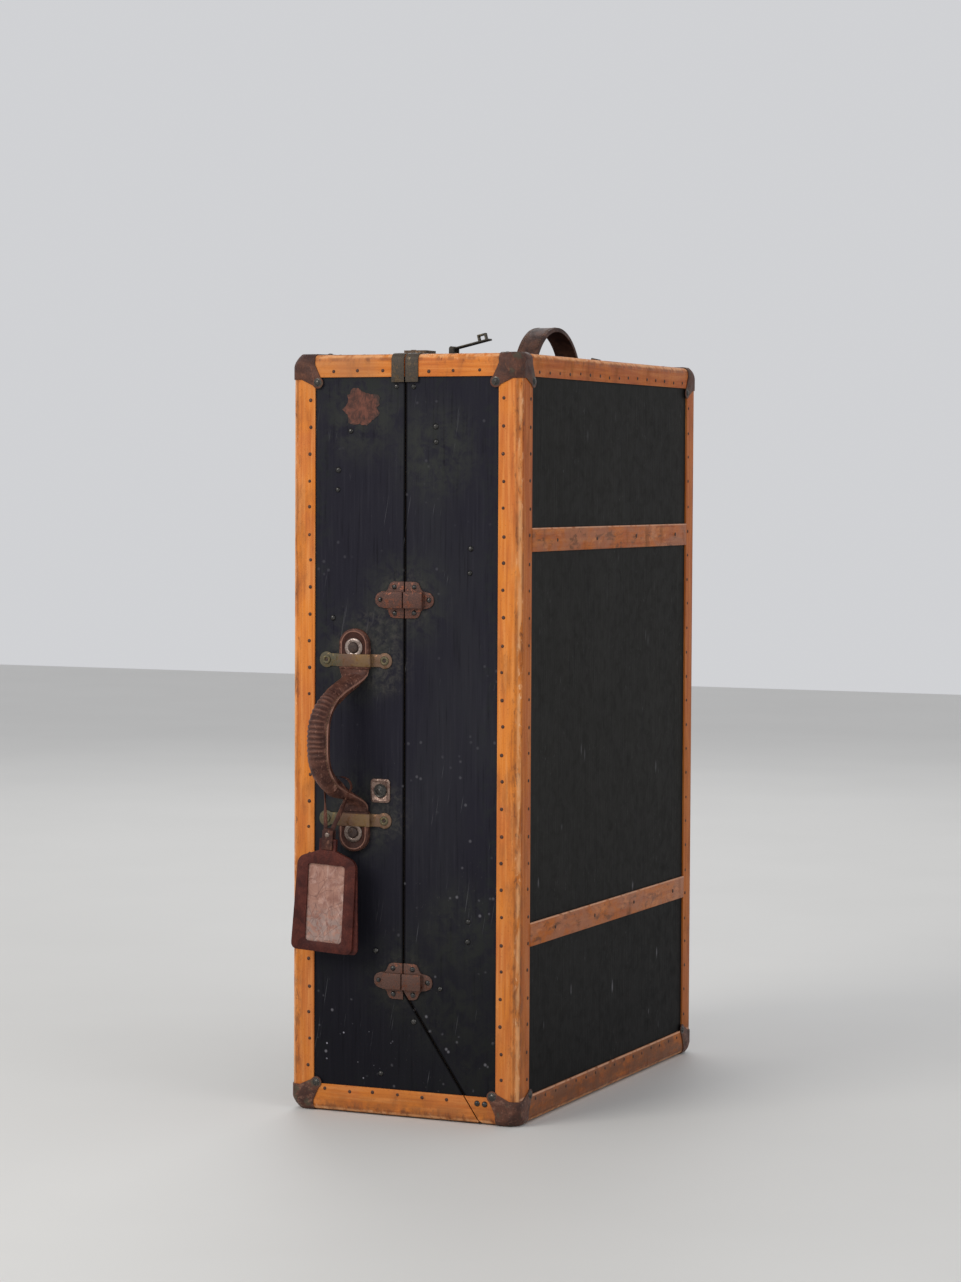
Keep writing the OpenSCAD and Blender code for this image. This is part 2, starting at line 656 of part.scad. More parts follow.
module tag_front() color([0.3, 0.15, 0.15]) at_tag() {
    translate([0, 0, card_t / 2]) linear_extrude(tag_leaf_t) difference() {
        tag_outline();
        tag_slot();
        translate([-window_w / 2, window_low]) square([window_w, window_h]);
    }
    translate([0, 0, -card_t / 2]) linear_extrude(card_t) difference() {
        tag_outline();
        tag_slot();
        card_bed();
    }
}
// The strap: a loop over the grip, two runs down, and a tail through the slot
tag_thick = 2 * tag_leaf_t + card_t;
module tag_strap() color([0.28, 0.16, 0.14]) {
    translate([loop_x, loop_y, loop_top]) rotate([0, 90, 0])
        cylinder(h = loop_flat, r = strap_r, center = true);
    for (s = [-1, 1]) {
        translate([loop_x + s * loop_flat / 2, loop_y, loop_top]) sphere(knot_r);
        translate([loop_x + s * loop_flat / 2, loop_y, loop_top - loop_bend]) rotate([90, 0, 90 - s * 90])
            rotate_extrude(angle = 90) translate([loop_bend, 0]) circle(strap_r);
        translate([loop_x + s * loop_r, loop_y, loop_top - loop_bend]) sphere(knot_r);
        rod([loop_x + s * loop_r, loop_y, loop_top - loop_bend],
            [tag_x + s * tail_w / 4, tag_y, neck_z + tail_h], strap_r);
    }
    at_tag() translate([-tail_w / 2, -slot_h / 2 + move_gap / 2, tag_thick / 2])
        cube([tail_w, tail_h + slot_h, plate_t]);
    at_tag() translate([-tail_w / 2, -slot_h / 2 + move_gap / 2, -tag_thick / 2 - plate_t])
        cube([tail_w, tail_h + slot_h, plate_t]);
    at_tag() translate([-tail_w / 2, -slot_h / 2 + move_gap / 2, -tag_thick / 2 - cut / 2])
        cube([tail_w, slot_h - move_gap, tag_thick + cut]);
    at_tag() translate([-tail_w / 2, tail_h - slot_h, -tag_thick / 2 - cut / 2])
        cube([tail_w, slot_h + slot_h / 2, tag_thick + cut]);
}
module tag_rivet() color("silver") at_tag() translate([0, tail_h - slot_h / 2, tag_thick / 2 + plate_t])
    dome(small_rivet_r, small_rivet_h);

// Trunk hasps on the top end: hinge on the lid, lock case on the base
hasp_x = 9;
hasp_half = 5;
bar_t = 1.6;
lock_top = case_h - at_cover + lock_h;
hasp_z = lock_top + move_gap + bar_t / 2;
ear_in = 4.2;
ear_t = 2.6;
ear_r = 2.4;
hasp_pin_r = 1.2;
staple_near = 26.5;
staple_far = 35.5;
staple_h = 6.2;
staple_half = 2.2;
staple_wall = 1.8;
lock_half = 11;
lock_out = 47;
lock_in = 24;
lock_left = hasp_x - lock_out;
lock_right = hasp_x - lock_in;
plug_r = 2.6;
plug_out = 42.2;
plug_x = hasp_x - plug_out;
plug_proud = 0.8;
plug_deep = 6;
module both_hasps() for (s = [-1, 1]) translate([0, s * hasp_y, 0]) children();
pocket_reach = norm([staple_far, staple_h + bar_t / 2]) + pocket_gap;
pocket_floor = hasp_z - staple_h - bar_t / 2 - 2 * pocket_gap;
module lock_cases() color([0.42, 0.38, 0.28]) both_hasps() difference() {
    translate([lock_left, -lock_half, case_h - at_cover])
        cube([lock_right - lock_left, 2 * lock_half, lock_h]);
    translate([hasp_x - pocket_reach, -staple_half - pocket_gap, pocket_floor])
        cube([pocket_reach - staple_near + pocket_gap, 2 * (staple_half + pocket_gap), far]);
    translate([plug_x, 0, lock_top - plug_deep]) cylinder(h = far, r = plug_r + run_gap);
}
keyhole_w = 1;
module key_plug() translate([plug_x, 0, lock_top - plug_deep]) difference() {
    cylinder(h = plug_deep + plug_proud, r = plug_r);
    translate([-plug_r * 0.6, -keyhole_w / 2, plug_deep - keyhole_w]) cube([plug_r * 1.2, keyhole_w, far]);
}
module key_plug_front() color("gold") translate([0, -hasp_y, 0]) key_plug();
module key_plug_back() color("gold") translate([0, hasp_y, 0]) key_plug();
hasp_plate_reach = 18;
module hasp_hinges() color([0.35, 0.33, 0.28]) both_hasps() {
    translate([hasp_x - ear_r, -ear_in - ear_t, case_h - at_cover])
        cube([hasp_plate_reach, 2 * (ear_in + ear_t), plate_t]);
    for (s = [-1, 1]) translate([hasp_x, s * (ear_in + ear_t / 2), hasp_z]) {
        rotate([90, 0, 0]) cylinder(h = ear_t, r = ear_r, center = true);
        translate([-ear_r, -ear_t / 2, case_h - at_cover - hasp_z])
            cube([2 * ear_r, ear_t, hasp_z - case_h + at_cover]);
    }
    translate([hasp_x, 0, hasp_z]) rotate([90, 0, 0])
        cylinder(h = 2 * ear_in + ear_t, r = hasp_pin_r, center = true);
}
knuckle_half = ear_in - 0.3;
module hasp(rise) translate([hasp_x, 0, hasp_z]) rotate([0, -rise, 0]) difference() {
    union() {
        rotate([90, 0, 0]) cylinder(h = 2 * knuckle_half, r = ear_r, center = true);
        translate([0, -knuckle_half, -bar_t / 2]) cube([ear_r + 2 * cut, 2 * knuckle_half, bar_t]);
        translate([ear_r + cut, -hasp_half, -bar_t / 2])
            cube([hasp_len - ear_r - cut, 2 * hasp_half, bar_t]);
        translate([staple_near, -staple_half, 0]) difference() {
            cube([staple_far - staple_near, 2 * staple_half, staple_h + bar_t / 2]);
            translate([staple_wall, -cut, bar_t / 2]) cube([staple_far - staple_near - 2 * staple_wall,
                2 * (staple_half + cut), staple_h - staple_wall]);
        }
    }
    rotate([90, 0, 0]) cylinder(h = 2 * hasp_half, r = hasp_pin_r + run_gap, center = true);
}
module hasp_front() color([0.3, 0.3, 0.27]) translate([0, -hasp_y, 0]) hasp(hasp_rise);
module hasp_back() color([0.3, 0.3, 0.27]) translate([0, hasp_y, 0]) hasp(-hasp_sag);

// Strap handle on the lid's top end: an arched strap with its feet under metal plates
end_z = case_h - at_cover;
foot_len = 26;
foot_in = 4;
end_ball = (end_half * end_half + end_rise * end_rise) / (2 * end_rise);
module end_handle() color([0.32, 0.2, 0.17]) {
    translate([end_x, 0, 0]) rotate([90, 0, 90]) linear_extrude(end_w, center = true) {
        intersection() {
            translate([0, case_h + end_rise - end_ball]) difference() {
                circle(end_ball, $fn = 96);
                circle(end_ball - end_t, $fn = 96);
            }
            translate([-end_half, end_z + end_t / 2]) square([2 * end_half, 2 * end_rise]);
        }
        for (s = [-1, 1]) translate([s * (end_half - foot_in + foot_len / 2) - foot_len / 2, end_z])
            square([foot_len, end_t]);
    }
}
end_plate_len = 26;
end_plate_over = 4;
module end_plates() color([0.35, 0.33, 0.26]) both_ends() difference() {
    translate([end_x - end_w / 2 - end_plate_over / 2, end_half + end_plate_over, end_z])
        cube([end_w + end_plate_over, end_plate_len, end_t + plate_t]);
    translate([end_x - end_w / 2, end_half - foot_in - cut, end_z - cut])
        cube([end_w, foot_len + cut, end_t + cut]);
}

// Hanging rail inside the lid, in cups on the two narrow walls
rail_end = half_d - at_inside;
cup_len = 9;
cup_wall = 2.5;
module hanging_rail() color("silver") translate([rail_x, 0, rail_z]) {
    rotate([90, 0, 0]) cylinder(h = 2 * rail_end, r = rail_r, center = true);
    both_ends() translate([0, -rail_end, 0]) rotate([-90, 0, 0])
        cylinder(h = cup_len, r = rail_r + cup_wall);
}

// Bottom hinges: base knuckles outside, lid knuckle between them
hinge_gap = 0.4;
lid_knuckle = hinge_len / 2;
base_knuckle = (hinge_len - lid_knuckle) / 2 - hinge_gap;
leaf_clear = barrel_r + 0.3;
lid_leaf_reach = pivot_in - band_side - hinge_gap;
module hinge_channel() both_ends() translate([pivot_x, hinge_y, pivot_z]) rotate([90, 0, 0])
    cylinder(h = hinge_len + 2 * hinge_gap, r = leaf_clear + hinge_gap, center = true);
module barrel(length) translate([0, 0, pivot_z]) rotate([90, 0, 0])
    cylinder(h = length, r = barrel_r, center = true);
module leaf(from, to, length) translate([from, -length / 2, at_cover - leaf_t])
    cube([to - from, length, leaf_t]);
module hinge_places() both_ends() translate([pivot_x, hinge_y, 0]) children();
module hinge_pin(r) translate([0, 0, pivot_z]) rotate([90, 0, 0])
    cylinder(h = hinge_len + 2 * cut, r = r, center = true);
knuckle_mid = lid_knuckle / 2 + hinge_gap + base_knuckle / 2;
module hinge_base_leaves() color([0.4, 0.36, 0.28]) hinge_places() {
    difference() {
        union() {
            leaf(-leaf_reach, -leaf_clear, hinge_len);
            for (s = [-1, 1]) translate([0, s * knuckle_mid, 0]) {
                barrel(base_knuckle);
                leaf(-leaf_clear - cut, 0, base_knuckle);
            }
        }
        translate([0, 0, pivot_z]) rotate([90, 0, 0])
            cylinder(h = lid_knuckle + 2 * hinge_gap, r = leaf_clear, center = true);
    }
    translate([0, 0, pivot_z]) rotate([90, 0, 0]) cylinder(h = hinge_len, r = hinge_pin_r, center = true);
}
module hinge_lid_leaves() color([0.4, 0.36, 0.28]) hinge_places() difference() {
    union() {
        leaf(leaf_clear, lid_leaf_reach, hinge_len);
        leaf(0, leaf_clear + cut, lid_knuckle);
        barrel(lid_knuckle);
    }
    for (s = [-1, 1]) translate([0, s * knuckle_mid, pivot_z]) rotate([90, 0, 0])
        cylinder(h = base_knuckle + 2 * hinge_gap, r = leaf_clear, center = true);
    hinge_pin(hinge_pin_r + run_gap);
}

base_side_panel();
base_front_wall();
base_back_wall();
base_top_end();
base_bottom_end();
base_cover();
base_lining();
base_binding();
base_tacks();
base_corner_caps();
base_cap_rivets();
base_slats();
base_slat_nails();
base_dowel_housings();
base_dowel_rivets();
base_ferrules();
base_wall_rivets();
label_patch();
handle_brackets();
bracket_rivets();
handle_tabs();
tab_studs();
handle_pins();
handle_grip();
grip_sleeves();
snap_plate();
snap_stud();
tag_back();
tag_card();
tag_front();
tag_strap();
tag_rivet();
lock_cases();
key_plug_front();
key_plug_back();
lid_side_panel();
lid_front_wall();
lid_back_wall();
lid_top_end();
lid_bottom_end();
lid_cover();
lid_lining();
lid_binding();
lid_tacks();
lid_corner_caps();
lid_cap_rivets();
lid_slats();
lid_slat_nails();
lid_dowel_tongues();
lid_dowel_rivets();
lid_ferrules();
lid_wall_rivets();
hasp_hinges();
hasp_front();
hasp_back();
end_handle();
end_plates();
hanging_rail();
hinge_base_leaves();
hinge_lid_leaves();
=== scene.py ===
# %% [markdown]
# # A standing travel trunk
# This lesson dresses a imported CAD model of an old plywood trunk. The CAD frame brings every rigid piece at its
# real size, in metres, so each new piece here is made where its CAD neighbour says. We look at the real object
# first, then choose the way that gives its shape or its finish.

# %% Load the frame
import math
import random

import bmesh
import bpy
from mathutils import Matrix, Vector, noise


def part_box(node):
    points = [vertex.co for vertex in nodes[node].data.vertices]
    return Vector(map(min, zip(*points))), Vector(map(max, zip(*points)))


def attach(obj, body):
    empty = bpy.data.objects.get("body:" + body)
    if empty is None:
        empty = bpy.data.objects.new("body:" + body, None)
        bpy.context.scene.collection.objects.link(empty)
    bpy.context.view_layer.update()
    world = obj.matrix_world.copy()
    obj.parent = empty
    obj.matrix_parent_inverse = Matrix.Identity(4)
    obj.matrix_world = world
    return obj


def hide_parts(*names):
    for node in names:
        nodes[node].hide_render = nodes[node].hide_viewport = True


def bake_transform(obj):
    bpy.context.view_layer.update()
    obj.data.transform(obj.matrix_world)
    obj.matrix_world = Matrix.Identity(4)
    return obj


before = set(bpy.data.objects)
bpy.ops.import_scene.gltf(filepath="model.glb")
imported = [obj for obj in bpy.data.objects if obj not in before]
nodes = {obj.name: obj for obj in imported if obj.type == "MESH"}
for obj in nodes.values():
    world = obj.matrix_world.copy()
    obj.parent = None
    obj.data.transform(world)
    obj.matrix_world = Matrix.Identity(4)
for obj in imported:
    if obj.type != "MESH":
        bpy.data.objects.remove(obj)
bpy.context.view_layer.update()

# %% [markdown]
# ## Camera
# The photograph was taken from about three metres away, in front of the narrow front and to its right, with the
# camera a little above the handle. The lens and the place were worked out from the trunk's straight edges, so a
# plain camera with those numbers gives the same outline as the photograph.

# %% Camera
camera = bpy.data.objects.new("camera", bpy.data.cameras.new("camera"))
camera.data.lens = 92.62
camera.data.sensor_width = 36
camera.location = (1.29769, -2.98569, 0.59382)
look_right = Vector((0.91427, 0.40507, 0.00482))
look_up = Vector((-0.02410, 0.04251, 0.99881))
look_ahead = Vector((-0.40438, 0.91330, -0.04863))
camera.rotation_euler = Matrix((look_right, look_up, -look_ahead)).transposed().to_euler()
bpy.context.scene.collection.objects.link(camera)
bpy.context.scene.camera = camera
print("camera", round(camera.location.length, 2), "m from the trunk's foot")

# %% [markdown]
# ## Light
# In the photograph the light is soft daylight from the front left and above: the narrow front is bright, the
# large side is duller. One big soft lamp does that, two weaker ones open the shadows, and a pale world fills the
# rest.

# %% Light
studio = bpy.context.scene
studio.world = bpy.data.worlds.new("pale room")
studio.world.use_nodes = True
background = studio.world.node_tree.nodes["Background"]
background.inputs["Color"].default_value = (0.96, 0.97, 1.0, 1)
background.inputs["Strength"].default_value = 0.66
studio.view_settings.view_transform = "Standard"


def soft_lamp(name, place, aim, size, power, colour):
    """A square soft box that looks at one point."""
    lamp = bpy.data.lights.new(name, "AREA")
    lamp.shape = "SQUARE"
    lamp.size = size
    lamp.energy = power
    lamp.color = colour
    holder = bpy.data.objects.new(name, lamp)
    holder.location = place
    holder.rotation_euler = (Vector(aim) - Vector(place)).to_track_quat("-Z", "Y").to_euler()
    studio.collection.objects.link(holder)
    print(name, power, "W")


soft_lamp("key light", (-1.5, -3.0, 2.2), (0, 0, 0.35), 1.8, 62, (1.0, 0.97, 0.92))
soft_lamp("side light", (3.2, -1.2, 1.6), (0, 0, 0.35), 2.0, 16, (0.95, 0.97, 1.0))
soft_lamp("back light", (-1.2, 2.6, 2.4), (0, 0, 0.4), 2.0, 20, (1.0, 1.0, 1.0))

# %% [markdown]
# ## Places that the finishes share
# Dirt gathers at the floor, rubbing at the edges and dust round the fittings, so many masks measure from the same
# few places of the trunk. They are named once here, in metres, and the recipes below read them. The slats' upper
# lips lie at one distance above and below a middle height, so two numbers name both.

# %% Places on the trunk
half_width, half_depth, height = 0.1175, 0.2285, 0.711
front_y = -0.228
seam_x, seam_corner, seam_slope = -0.001, 0.119, (0.8297, 0.5582)
band_lip = 0.0255
slat_lips_middle, slat_lips_reach = 0.3685, 0.182
print("the closed trunk is", 2 * half_width, "x", 2 * half_depth, "x", height, "m")

# %% [markdown]
# ## A helper for finishes
# Every finish here is a small tree of shader nodes. The pattern is measured in metres on Object coordinates, so
# it stays on the trunk from every side. The helper adds one node a call, which keeps each recipe short enough
# to read as a list of layers: ground colour, stains, wear, then gloss and relief. A mask is a number from 0 to 1
# at each point, and masks are multiplied where both have to hold.


# %% Helper for finishes
def paint(red, green, blue):
    """A screen colour, 0 to 255, as the linear light that a shader wants."""
    shares = [c / 255 for c in (red, green, blue)]
    return (*[c / 12.92 if c <= 0.04045 else ((c + 0.055) / 1.055) ** 2.4 for c in shares], 1.0)


class Finish:
    """One material while it is made. Each call adds a node and gives back its output."""

    def __init__(self, name, **constants):
        self.material = bpy.data.materials.new(name)
        self.material.use_nodes = True
        self.tree = self.material.node_tree
        self.shader = self.tree.nodes["Principled BSDF"]
        for socket, value in constants.items():
            self.shader.inputs[socket.replace("_", " ")].default_value = value
        self.place = self.tree.nodes.new("ShaderNodeTexCoord").outputs["Object"]
        split = self.tree.nodes.new("ShaderNodeSeparateXYZ")
        self.tree.links.new(self.place, split.inputs[0])
        self.x, self.y, self.z = split.outputs

    def feed(self, socket, value):
        """Links an output to the socket, or writes a constant into it."""
        if isinstance(value, bpy.types.NodeSocket):
            self.tree.links.new(value, socket)
        else:
            socket.default_value = value

    def spread(self, size, stretch=(1, 1, 1), turn=(0, 0, 0)):
        """Coordinates in which one unit is size metres, stretched along each axis."""
        node = self.tree.nodes.new("ShaderNodeMapping")
        node.vector_type = "TEXTURE"
        self.feed(node.inputs["Vector"], self.place)
        node.inputs["Rotation"].default_value = [math.radians(t) for t in turn]
        node.inputs["Scale"].default_value = [size * s for s in stretch]
        return node.outputs["Vector"]

    def noise(self, size, stretch=(1, 1, 1), turn=(0, 0, 0), detail=4, coarse=0.55, bend=0.0):
        """Cloudy spots of about size metres."""
        node = self.tree.nodes.new("ShaderNodeTexNoise")
        self.feed(node.inputs["Vector"], self.spread(size, stretch, turn))
        node.inputs["Scale"].default_value = 1
        node.inputs["Detail"].default_value = detail
        node.inputs["Roughness"].default_value = coarse
        node.inputs["Distortion"].default_value = bend
        return node.outputs["Fac"]

    def cells(self, size, stretch=(1, 1, 1), turn=(0, 0, 0), cracks=False):
        """The distance to the middle of the nearest cell or, for cracks, to the cell's border."""
        node = self.tree.nodes.new("ShaderNodeTexVoronoi")
        node.feature = "DISTANCE_TO_EDGE" if cracks else "F1"
        self.feed(node.inputs["Vector"], self.spread(size, stretch, turn))
        node.inputs["Scale"].default_value = 1
        return node.outputs["Distance"]

    def threads(self, size, along):
        """Even bands, size metres apart, that follow each other along one axis."""
        node = self.tree.nodes.new("ShaderNodeTexWave")
        node.bands_direction = along
        node.wave_profile = "SIN"
        self.feed(node.inputs["Vector"], self.spread(size))
        node.inputs["Scale"].default_value = math.pi / 10
        node.inputs["Distortion"].default_value = 0.6
        node.inputs["Detail"].default_value = 1
        return node.outputs["Fac"]

    def calc(self, what, *values):
        """One step of arithmetic on outputs or constants."""
        node = self.tree.nodes.new("ShaderNodeMath")
        node.operation = what
        for socket, value in zip(node.inputs, values):
            self.feed(socket, value)
        return node.outputs[0]

    def ease(self, value, low, high, start=0.0, end=1.0):
        """start below low, end above high, and a soft step between."""
        node = self.tree.nodes.new("ShaderNodeMapRange")
        node.interpolation_type = "SMOOTHSTEP"
        self.feed(node.inputs["Value"], value)
        for socket, number in (("From Min", low), ("From Max", high), ("To Min", start), ("To Max", end)):
            node.inputs[socket].default_value = number
        return node.outputs["Result"]

    def apart(self, value, place):
        """How far a value is from a place, on either side of it."""
        return self.calc("ABSOLUTE", self.calc("SUBTRACT", value, place))

    def rest(self, mask):
        """1 where the mask is 0, and 0 where it is 1."""
        return self.calc("SUBTRACT", 1, mask)

    def both(self, *masks):
        """The product of the masks: it holds only where every one does."""
        product = masks[0]
        for mask in masks[1:]:
            product = self.calc("MULTIPLY", product, mask)
        return product

    def mix_share(self, share, first, second):
        """A number that is first where share is 0 and second where it is 1."""
        return self.calc("ADD", first, self.calc("MULTIPLY", share, second - first))

    def mix(self, share, first, second, way="MIX"):
        """first where share is 0 and second where it is 1; a plain screen colour is turned into light."""
        node = self.tree.nodes.new("ShaderNodeMix")
        node.data_type = "RGBA"
        node.blend_type = way
        for name, value in (("Factor_Float", share), ("A_Color", first), ("B_Color", second)):
            socket = next(s for s in node.inputs if s.identifier == name)
            self.feed(socket, paint(*value) if isinstance(value, tuple) else value)
        return next(s for s in node.outputs if s.identifier == "Result_Color")

    def over(self, ground, colour, *masks):
        """Lays a colour over the ground where all the masks hold."""
        return self.mix(self.both(*masks), ground, colour)

    def away_from(self, *points):
        """The distance, in metres, to the nearest of some points of the trunk."""
        nearest = None
        for point in points:
            node = self.tree.nodes.new("ShaderNodeVectorMath")
            node.operation = "DISTANCE"
            self.feed(node.inputs[0], self.place)
            node.inputs[1].default_value = point
            found = node.outputs["Value"]
            nearest = found if nearest is None else self.calc("MINIMUM", nearest, found)
        return nearest

    def from_edge(self):
        """The distance to the nearest edge of the closed trunk: the middle one of the three wall distances."""
        across = self.calc("SUBTRACT", half_width, self.calc("ABSOLUTE", self.x))
        along = self.calc("SUBTRACT", half_depth, self.calc("ABSOLUTE", self.y))
        upright = self.calc("MINIMUM", self.z, self.calc("SUBTRACT", height, self.z))
        small = self.calc("MINIMUM", across, along)
        large = self.calc("MAXIMUM", across, along)
        return self.calc("MAXIMUM", small, self.calc("MINIMUM", large, upright))

    def done(self, colour, gloss=None, relief=None, depth=0.0002):
        """Joins the last colour, roughness and relief to the shader."""
        self.feed(self.shader.inputs["Base Color"], colour)
        if gloss is not None:
            self.feed(self.shader.inputs["Roughness"], gloss)
        if relief is not None:
            node = self.tree.nodes.new("ShaderNodeBump")
            node.inputs["Distance"].default_value = depth
            self.feed(node.inputs["Height"], relief)
            self.feed(self.shader.inputs["Normal"], node.outputs["Normal"])
        print(self.material.name, "has", len(self.tree.nodes), "nodes")
        return self.material


# %% [markdown]
# ## Fibre bindings
# The orange-tan bands are vulcanised fibre: rags pressed hard and dyed. Age leaves it mottled, with long streaks
# along each band, rubbed pale on the trunk's edges, where a painted highlight lies too, and dirty near the floor.
# The large side is painted duller and browner, as painted shade for the weaker light on it. All of that is
# position, so masks on x, y and z place it.
#
# The dyed fibre comes first: two oranges in patches, pale and dark streaks that run along the band, specks, and
# the painted shade that makes the large side duller.

# %% Fibre: ground colour


def fibre_ground(f, side, level):
    """The dyed fibre before any wear, with painted shade on the large side, and the patterns that later layers
    share.
    """
    upright_streaks = f.noise(0.0035, (1, 1, 22), detail=5)
    level_streaks = f.noise(0.0035, (22, 22, 1), detail=5)
    streaks = f.calc("ADD", f.both(level_streaks, level), f.both(upright_streaks, f.rest(level)))
    patches = f.noise(0.045, (1, 1, 1.8), detail=4, bend=0.6)
    specks = f.noise(0.0016, detail=3)
    ground = f.mix(f.ease(patches, 0.34, 0.66), (213, 125, 46), (196, 110, 52))
    ground = f.over(ground, (224, 148, 82), f.ease(streaks, 0.42, 0.72, 0, 0.75))
    ground = f.over(ground, (168, 92, 46), f.ease(streaks, 0.46, 0.26, 0, 0.8))
    ground = f.over(ground, (150, 84, 44), f.ease(specks, 0.58, 0.74, 0, 0.5))
    # Painted shade: on the large side the fibre is multiplied by a pale brown, a darker copy for the weaker light
    # there.
    ground = f.mix(f.calc("MULTIPLY", side, 0.8), ground, f.mix(1.0, ground, (205, 186, 176), "MULTIPLY"))
    return ground, streaks, patches, specks


# %% [markdown]
# Dirt comes next. Grime lies anywhere, more of it low down, and blots stand along the foot of the large side. The
# slats stand proud, so they are more faded and dirtier than the bands, with a few places where the dye is fresh.

# %% Fibre: dirt


def fibre_dirt(f, ground, side, browner):
    """Grime on every band, and darker blots near the floor."""
    grime = f.ease(f.noise(0.02, (1, 1, 3), detail=6, coarse=0.65), 0.5, 0.72)
    ground = f.over(ground, (118, 74, 48), grime, browner)
    splashes = f.ease(f.noise(0.012, (2, 2, 1), detail=5), 0.35, 0.6)
    ground = f.over(ground, (96, 62, 44), f.ease(f.z, 0.002, 0.03, 1, 0), splashes, 0.55)
    ground = f.over(ground, (140, 82, 40), f.ease(f.z, 0.0, 0.42, 0.3, 0.0))
    blots = f.ease(f.noise(0.014, (2, 2, 1), detail=6, coarse=0.7), 0.33, 0.56)
    ground = f.over(ground, (104, 69, 50), side, f.ease(f.z, 0.02, 0.034, 1, 0), blots, 0.84)
    return ground, grime


def slat_dirt(f, ground):
    """Fading, dirt and fresh places of the slats."""
    faded = f.ease(f.noise(0.022, (2.2, 2.2, 1), detail=6, coarse=0.68, bend=0.5), 0.4, 0.6)
    ground = f.over(ground, (152, 106, 84), faded, 0.6)
    dirt = f.ease(f.noise(0.009, (2.5, 2.5, 1), detail=6, coarse=0.72, bend=0.5), 0.52, 0.64)
    ground = f.over(ground, (100, 66, 46), dirt, 0.75)
    fresh = f.ease(f.noise(0.013, (2.5, 2.5, 1), detail=5, coarse=0.65), 0.56, 0.66)
    return f.over(ground, (196, 128, 82), fresh, 0.55)


# %% [markdown]
# Wear and painted light come last. The upper lip of a slat or of the bottom band is painted pale as a highlight,
# where light catches the edge. Along the trunk's edges the dye has come off in flakes, and the rounded edge is
# painted pale as a highlight too, palest at the very corner, with a thin line of painted shade behind it where the
# edge turns from the light. Boots have kicked the low edges brown.

# %% Fibre: wear, painted highlight and painted shade


def lip_highlight(f, ground, from_lip, where):
    """A painted highlight line along an upper edge."""
    lip = f.both(f.ease(from_lip, 0.0006, 0.0017, 1, 0), where, f.ease(f.noise(0.01), 0.3, 0.5))
    # Painted highlight: a pale line where the upper edge catches the light.
    return f.over(ground, (222, 172, 140), lip, 0.6)


def corner_wear_and_light(f, ground, patches):
    """Flakes, kicks and rubbing, a painted highlight on the rounded edge and a line of painted shade behind it,
    each within its own distance of the trunk's edges.
    """
    edge = f.from_edge()
    scuffs = f.noise(0.0045, (1, 1, 2.6), detail=6, coarse=0.72, bend=0.4)
    ground = f.over(ground, (104, 60, 42), f.ease(edge, 0.004, 0.0125, 0.75, 0), f.ease(scuffs, 0.55, 0.63))
    # Pale chips at the very corner: partly flaked dye, partly painted highlight.
    ground = f.over(ground, (238, 190, 146), f.ease(edge, 0.002, 0.008, 0.85, 0), f.ease(scuffs, 0.44, 0.36))
    top_left = f.ease(f.away_from((-0.068, -half_depth, 0.7)), 0.03, 0.05, 1, 0)
    ground = f.over(ground, (172, 116, 78), top_left, f.ease(patches, 0.3, 0.55, 0.5, 1), 0.6)
    flakes = f.ease(f.noise(0.007, (1, 1, 2.4), detail=6, coarse=0.75), 0.5, 0.6)
    kicked = f.both(f.ease(f.z, 0.12, 0.3, 1, 0), f.ease(edge, 0.006, 0.015, 1, 0), flakes)
    ground = f.over(ground, (122, 78, 50), kicked, 0.6)
    # A pale stripe along the rounded edge: rubbed dye and painted highlight.
    rubbed_and_highlit = f.ease(f.noise(0.006, (1, 1, 4), detail=5), 0.36, 0.56)
    ground = f.over(ground, (228, 168, 116), f.ease(edge, 0.003, 0.0058, 1, 0), rubbed_and_highlit, 0.7)
    # A broken dark line just behind the edge: painted shade where the rounded edge turns from the light.
    broken = f.ease(f.noise(0.01, (1, 1, 5)), 0.45, 0.6)
    edge_shade_line = f.both(f.ease(edge, 0.003, 0.005), f.ease(edge, 0.0058, 0.0085, 1, 0), broken)
    return f.over(ground, (116, 70, 44), edge_shade_line, 0.5)


# %% [markdown]
# The three parts make one recipe. It serves the bands and the slats, which differ in dirt and in where a lip is.

# %% Fibre: the whole finish


def fibre(name, browner, on_slats=False):
    """The fibre of the bands or, where asked, of the slats."""
    f = Finish(name, Roughness=0.5, Specular_IOR_Level=0.13)
    on_front = f.ease(f.calc("ABSOLUTE", f.y), 0.2225, 0.2262, 1, 0)
    side = f.both(f.ease(f.calc("ABSOLUTE", f.x), 0.1145, 0.1163), on_front)
    from_ends = f.calc("MINIMUM", f.z, f.calc("SUBTRACT", height, f.z))
    level = 1.0 if on_slats else f.ease(from_ends, 0.0235, 0.0275, 1, 0)
    ground, streaks, patches, specks = fibre_ground(f, side, level)
    ground, grime = fibre_dirt(f, ground, side, browner)
    if on_slats:
        from_lip = f.apart(f.apart(f.z, slat_lips_middle), slat_lips_reach)
        ground = lip_highlight(f, slat_dirt(f, ground), from_lip, 1.0)
    else:
        ground = lip_highlight(f, ground, f.apart(f.z, band_lip), side)
    ground = corner_wear_and_light(f, ground, patches)
    gloss = f.ease(f.calc("ADD", f.calc("MULTIPLY", grime, 0.4), specks), 0.3, 1.0, 0.42, 0.68)
    relief = f.calc("ADD", f.calc("MULTIPLY", streaks, 0.8), f.calc("MULTIPLY", specks, 0.35))
    return f.done(ground, gloss, relief, 0.0003)


binding_finish = fibre("fibre binding", 0.5)
slat_finish = fibre("fibre on slats", 0.8, on_slats=True)

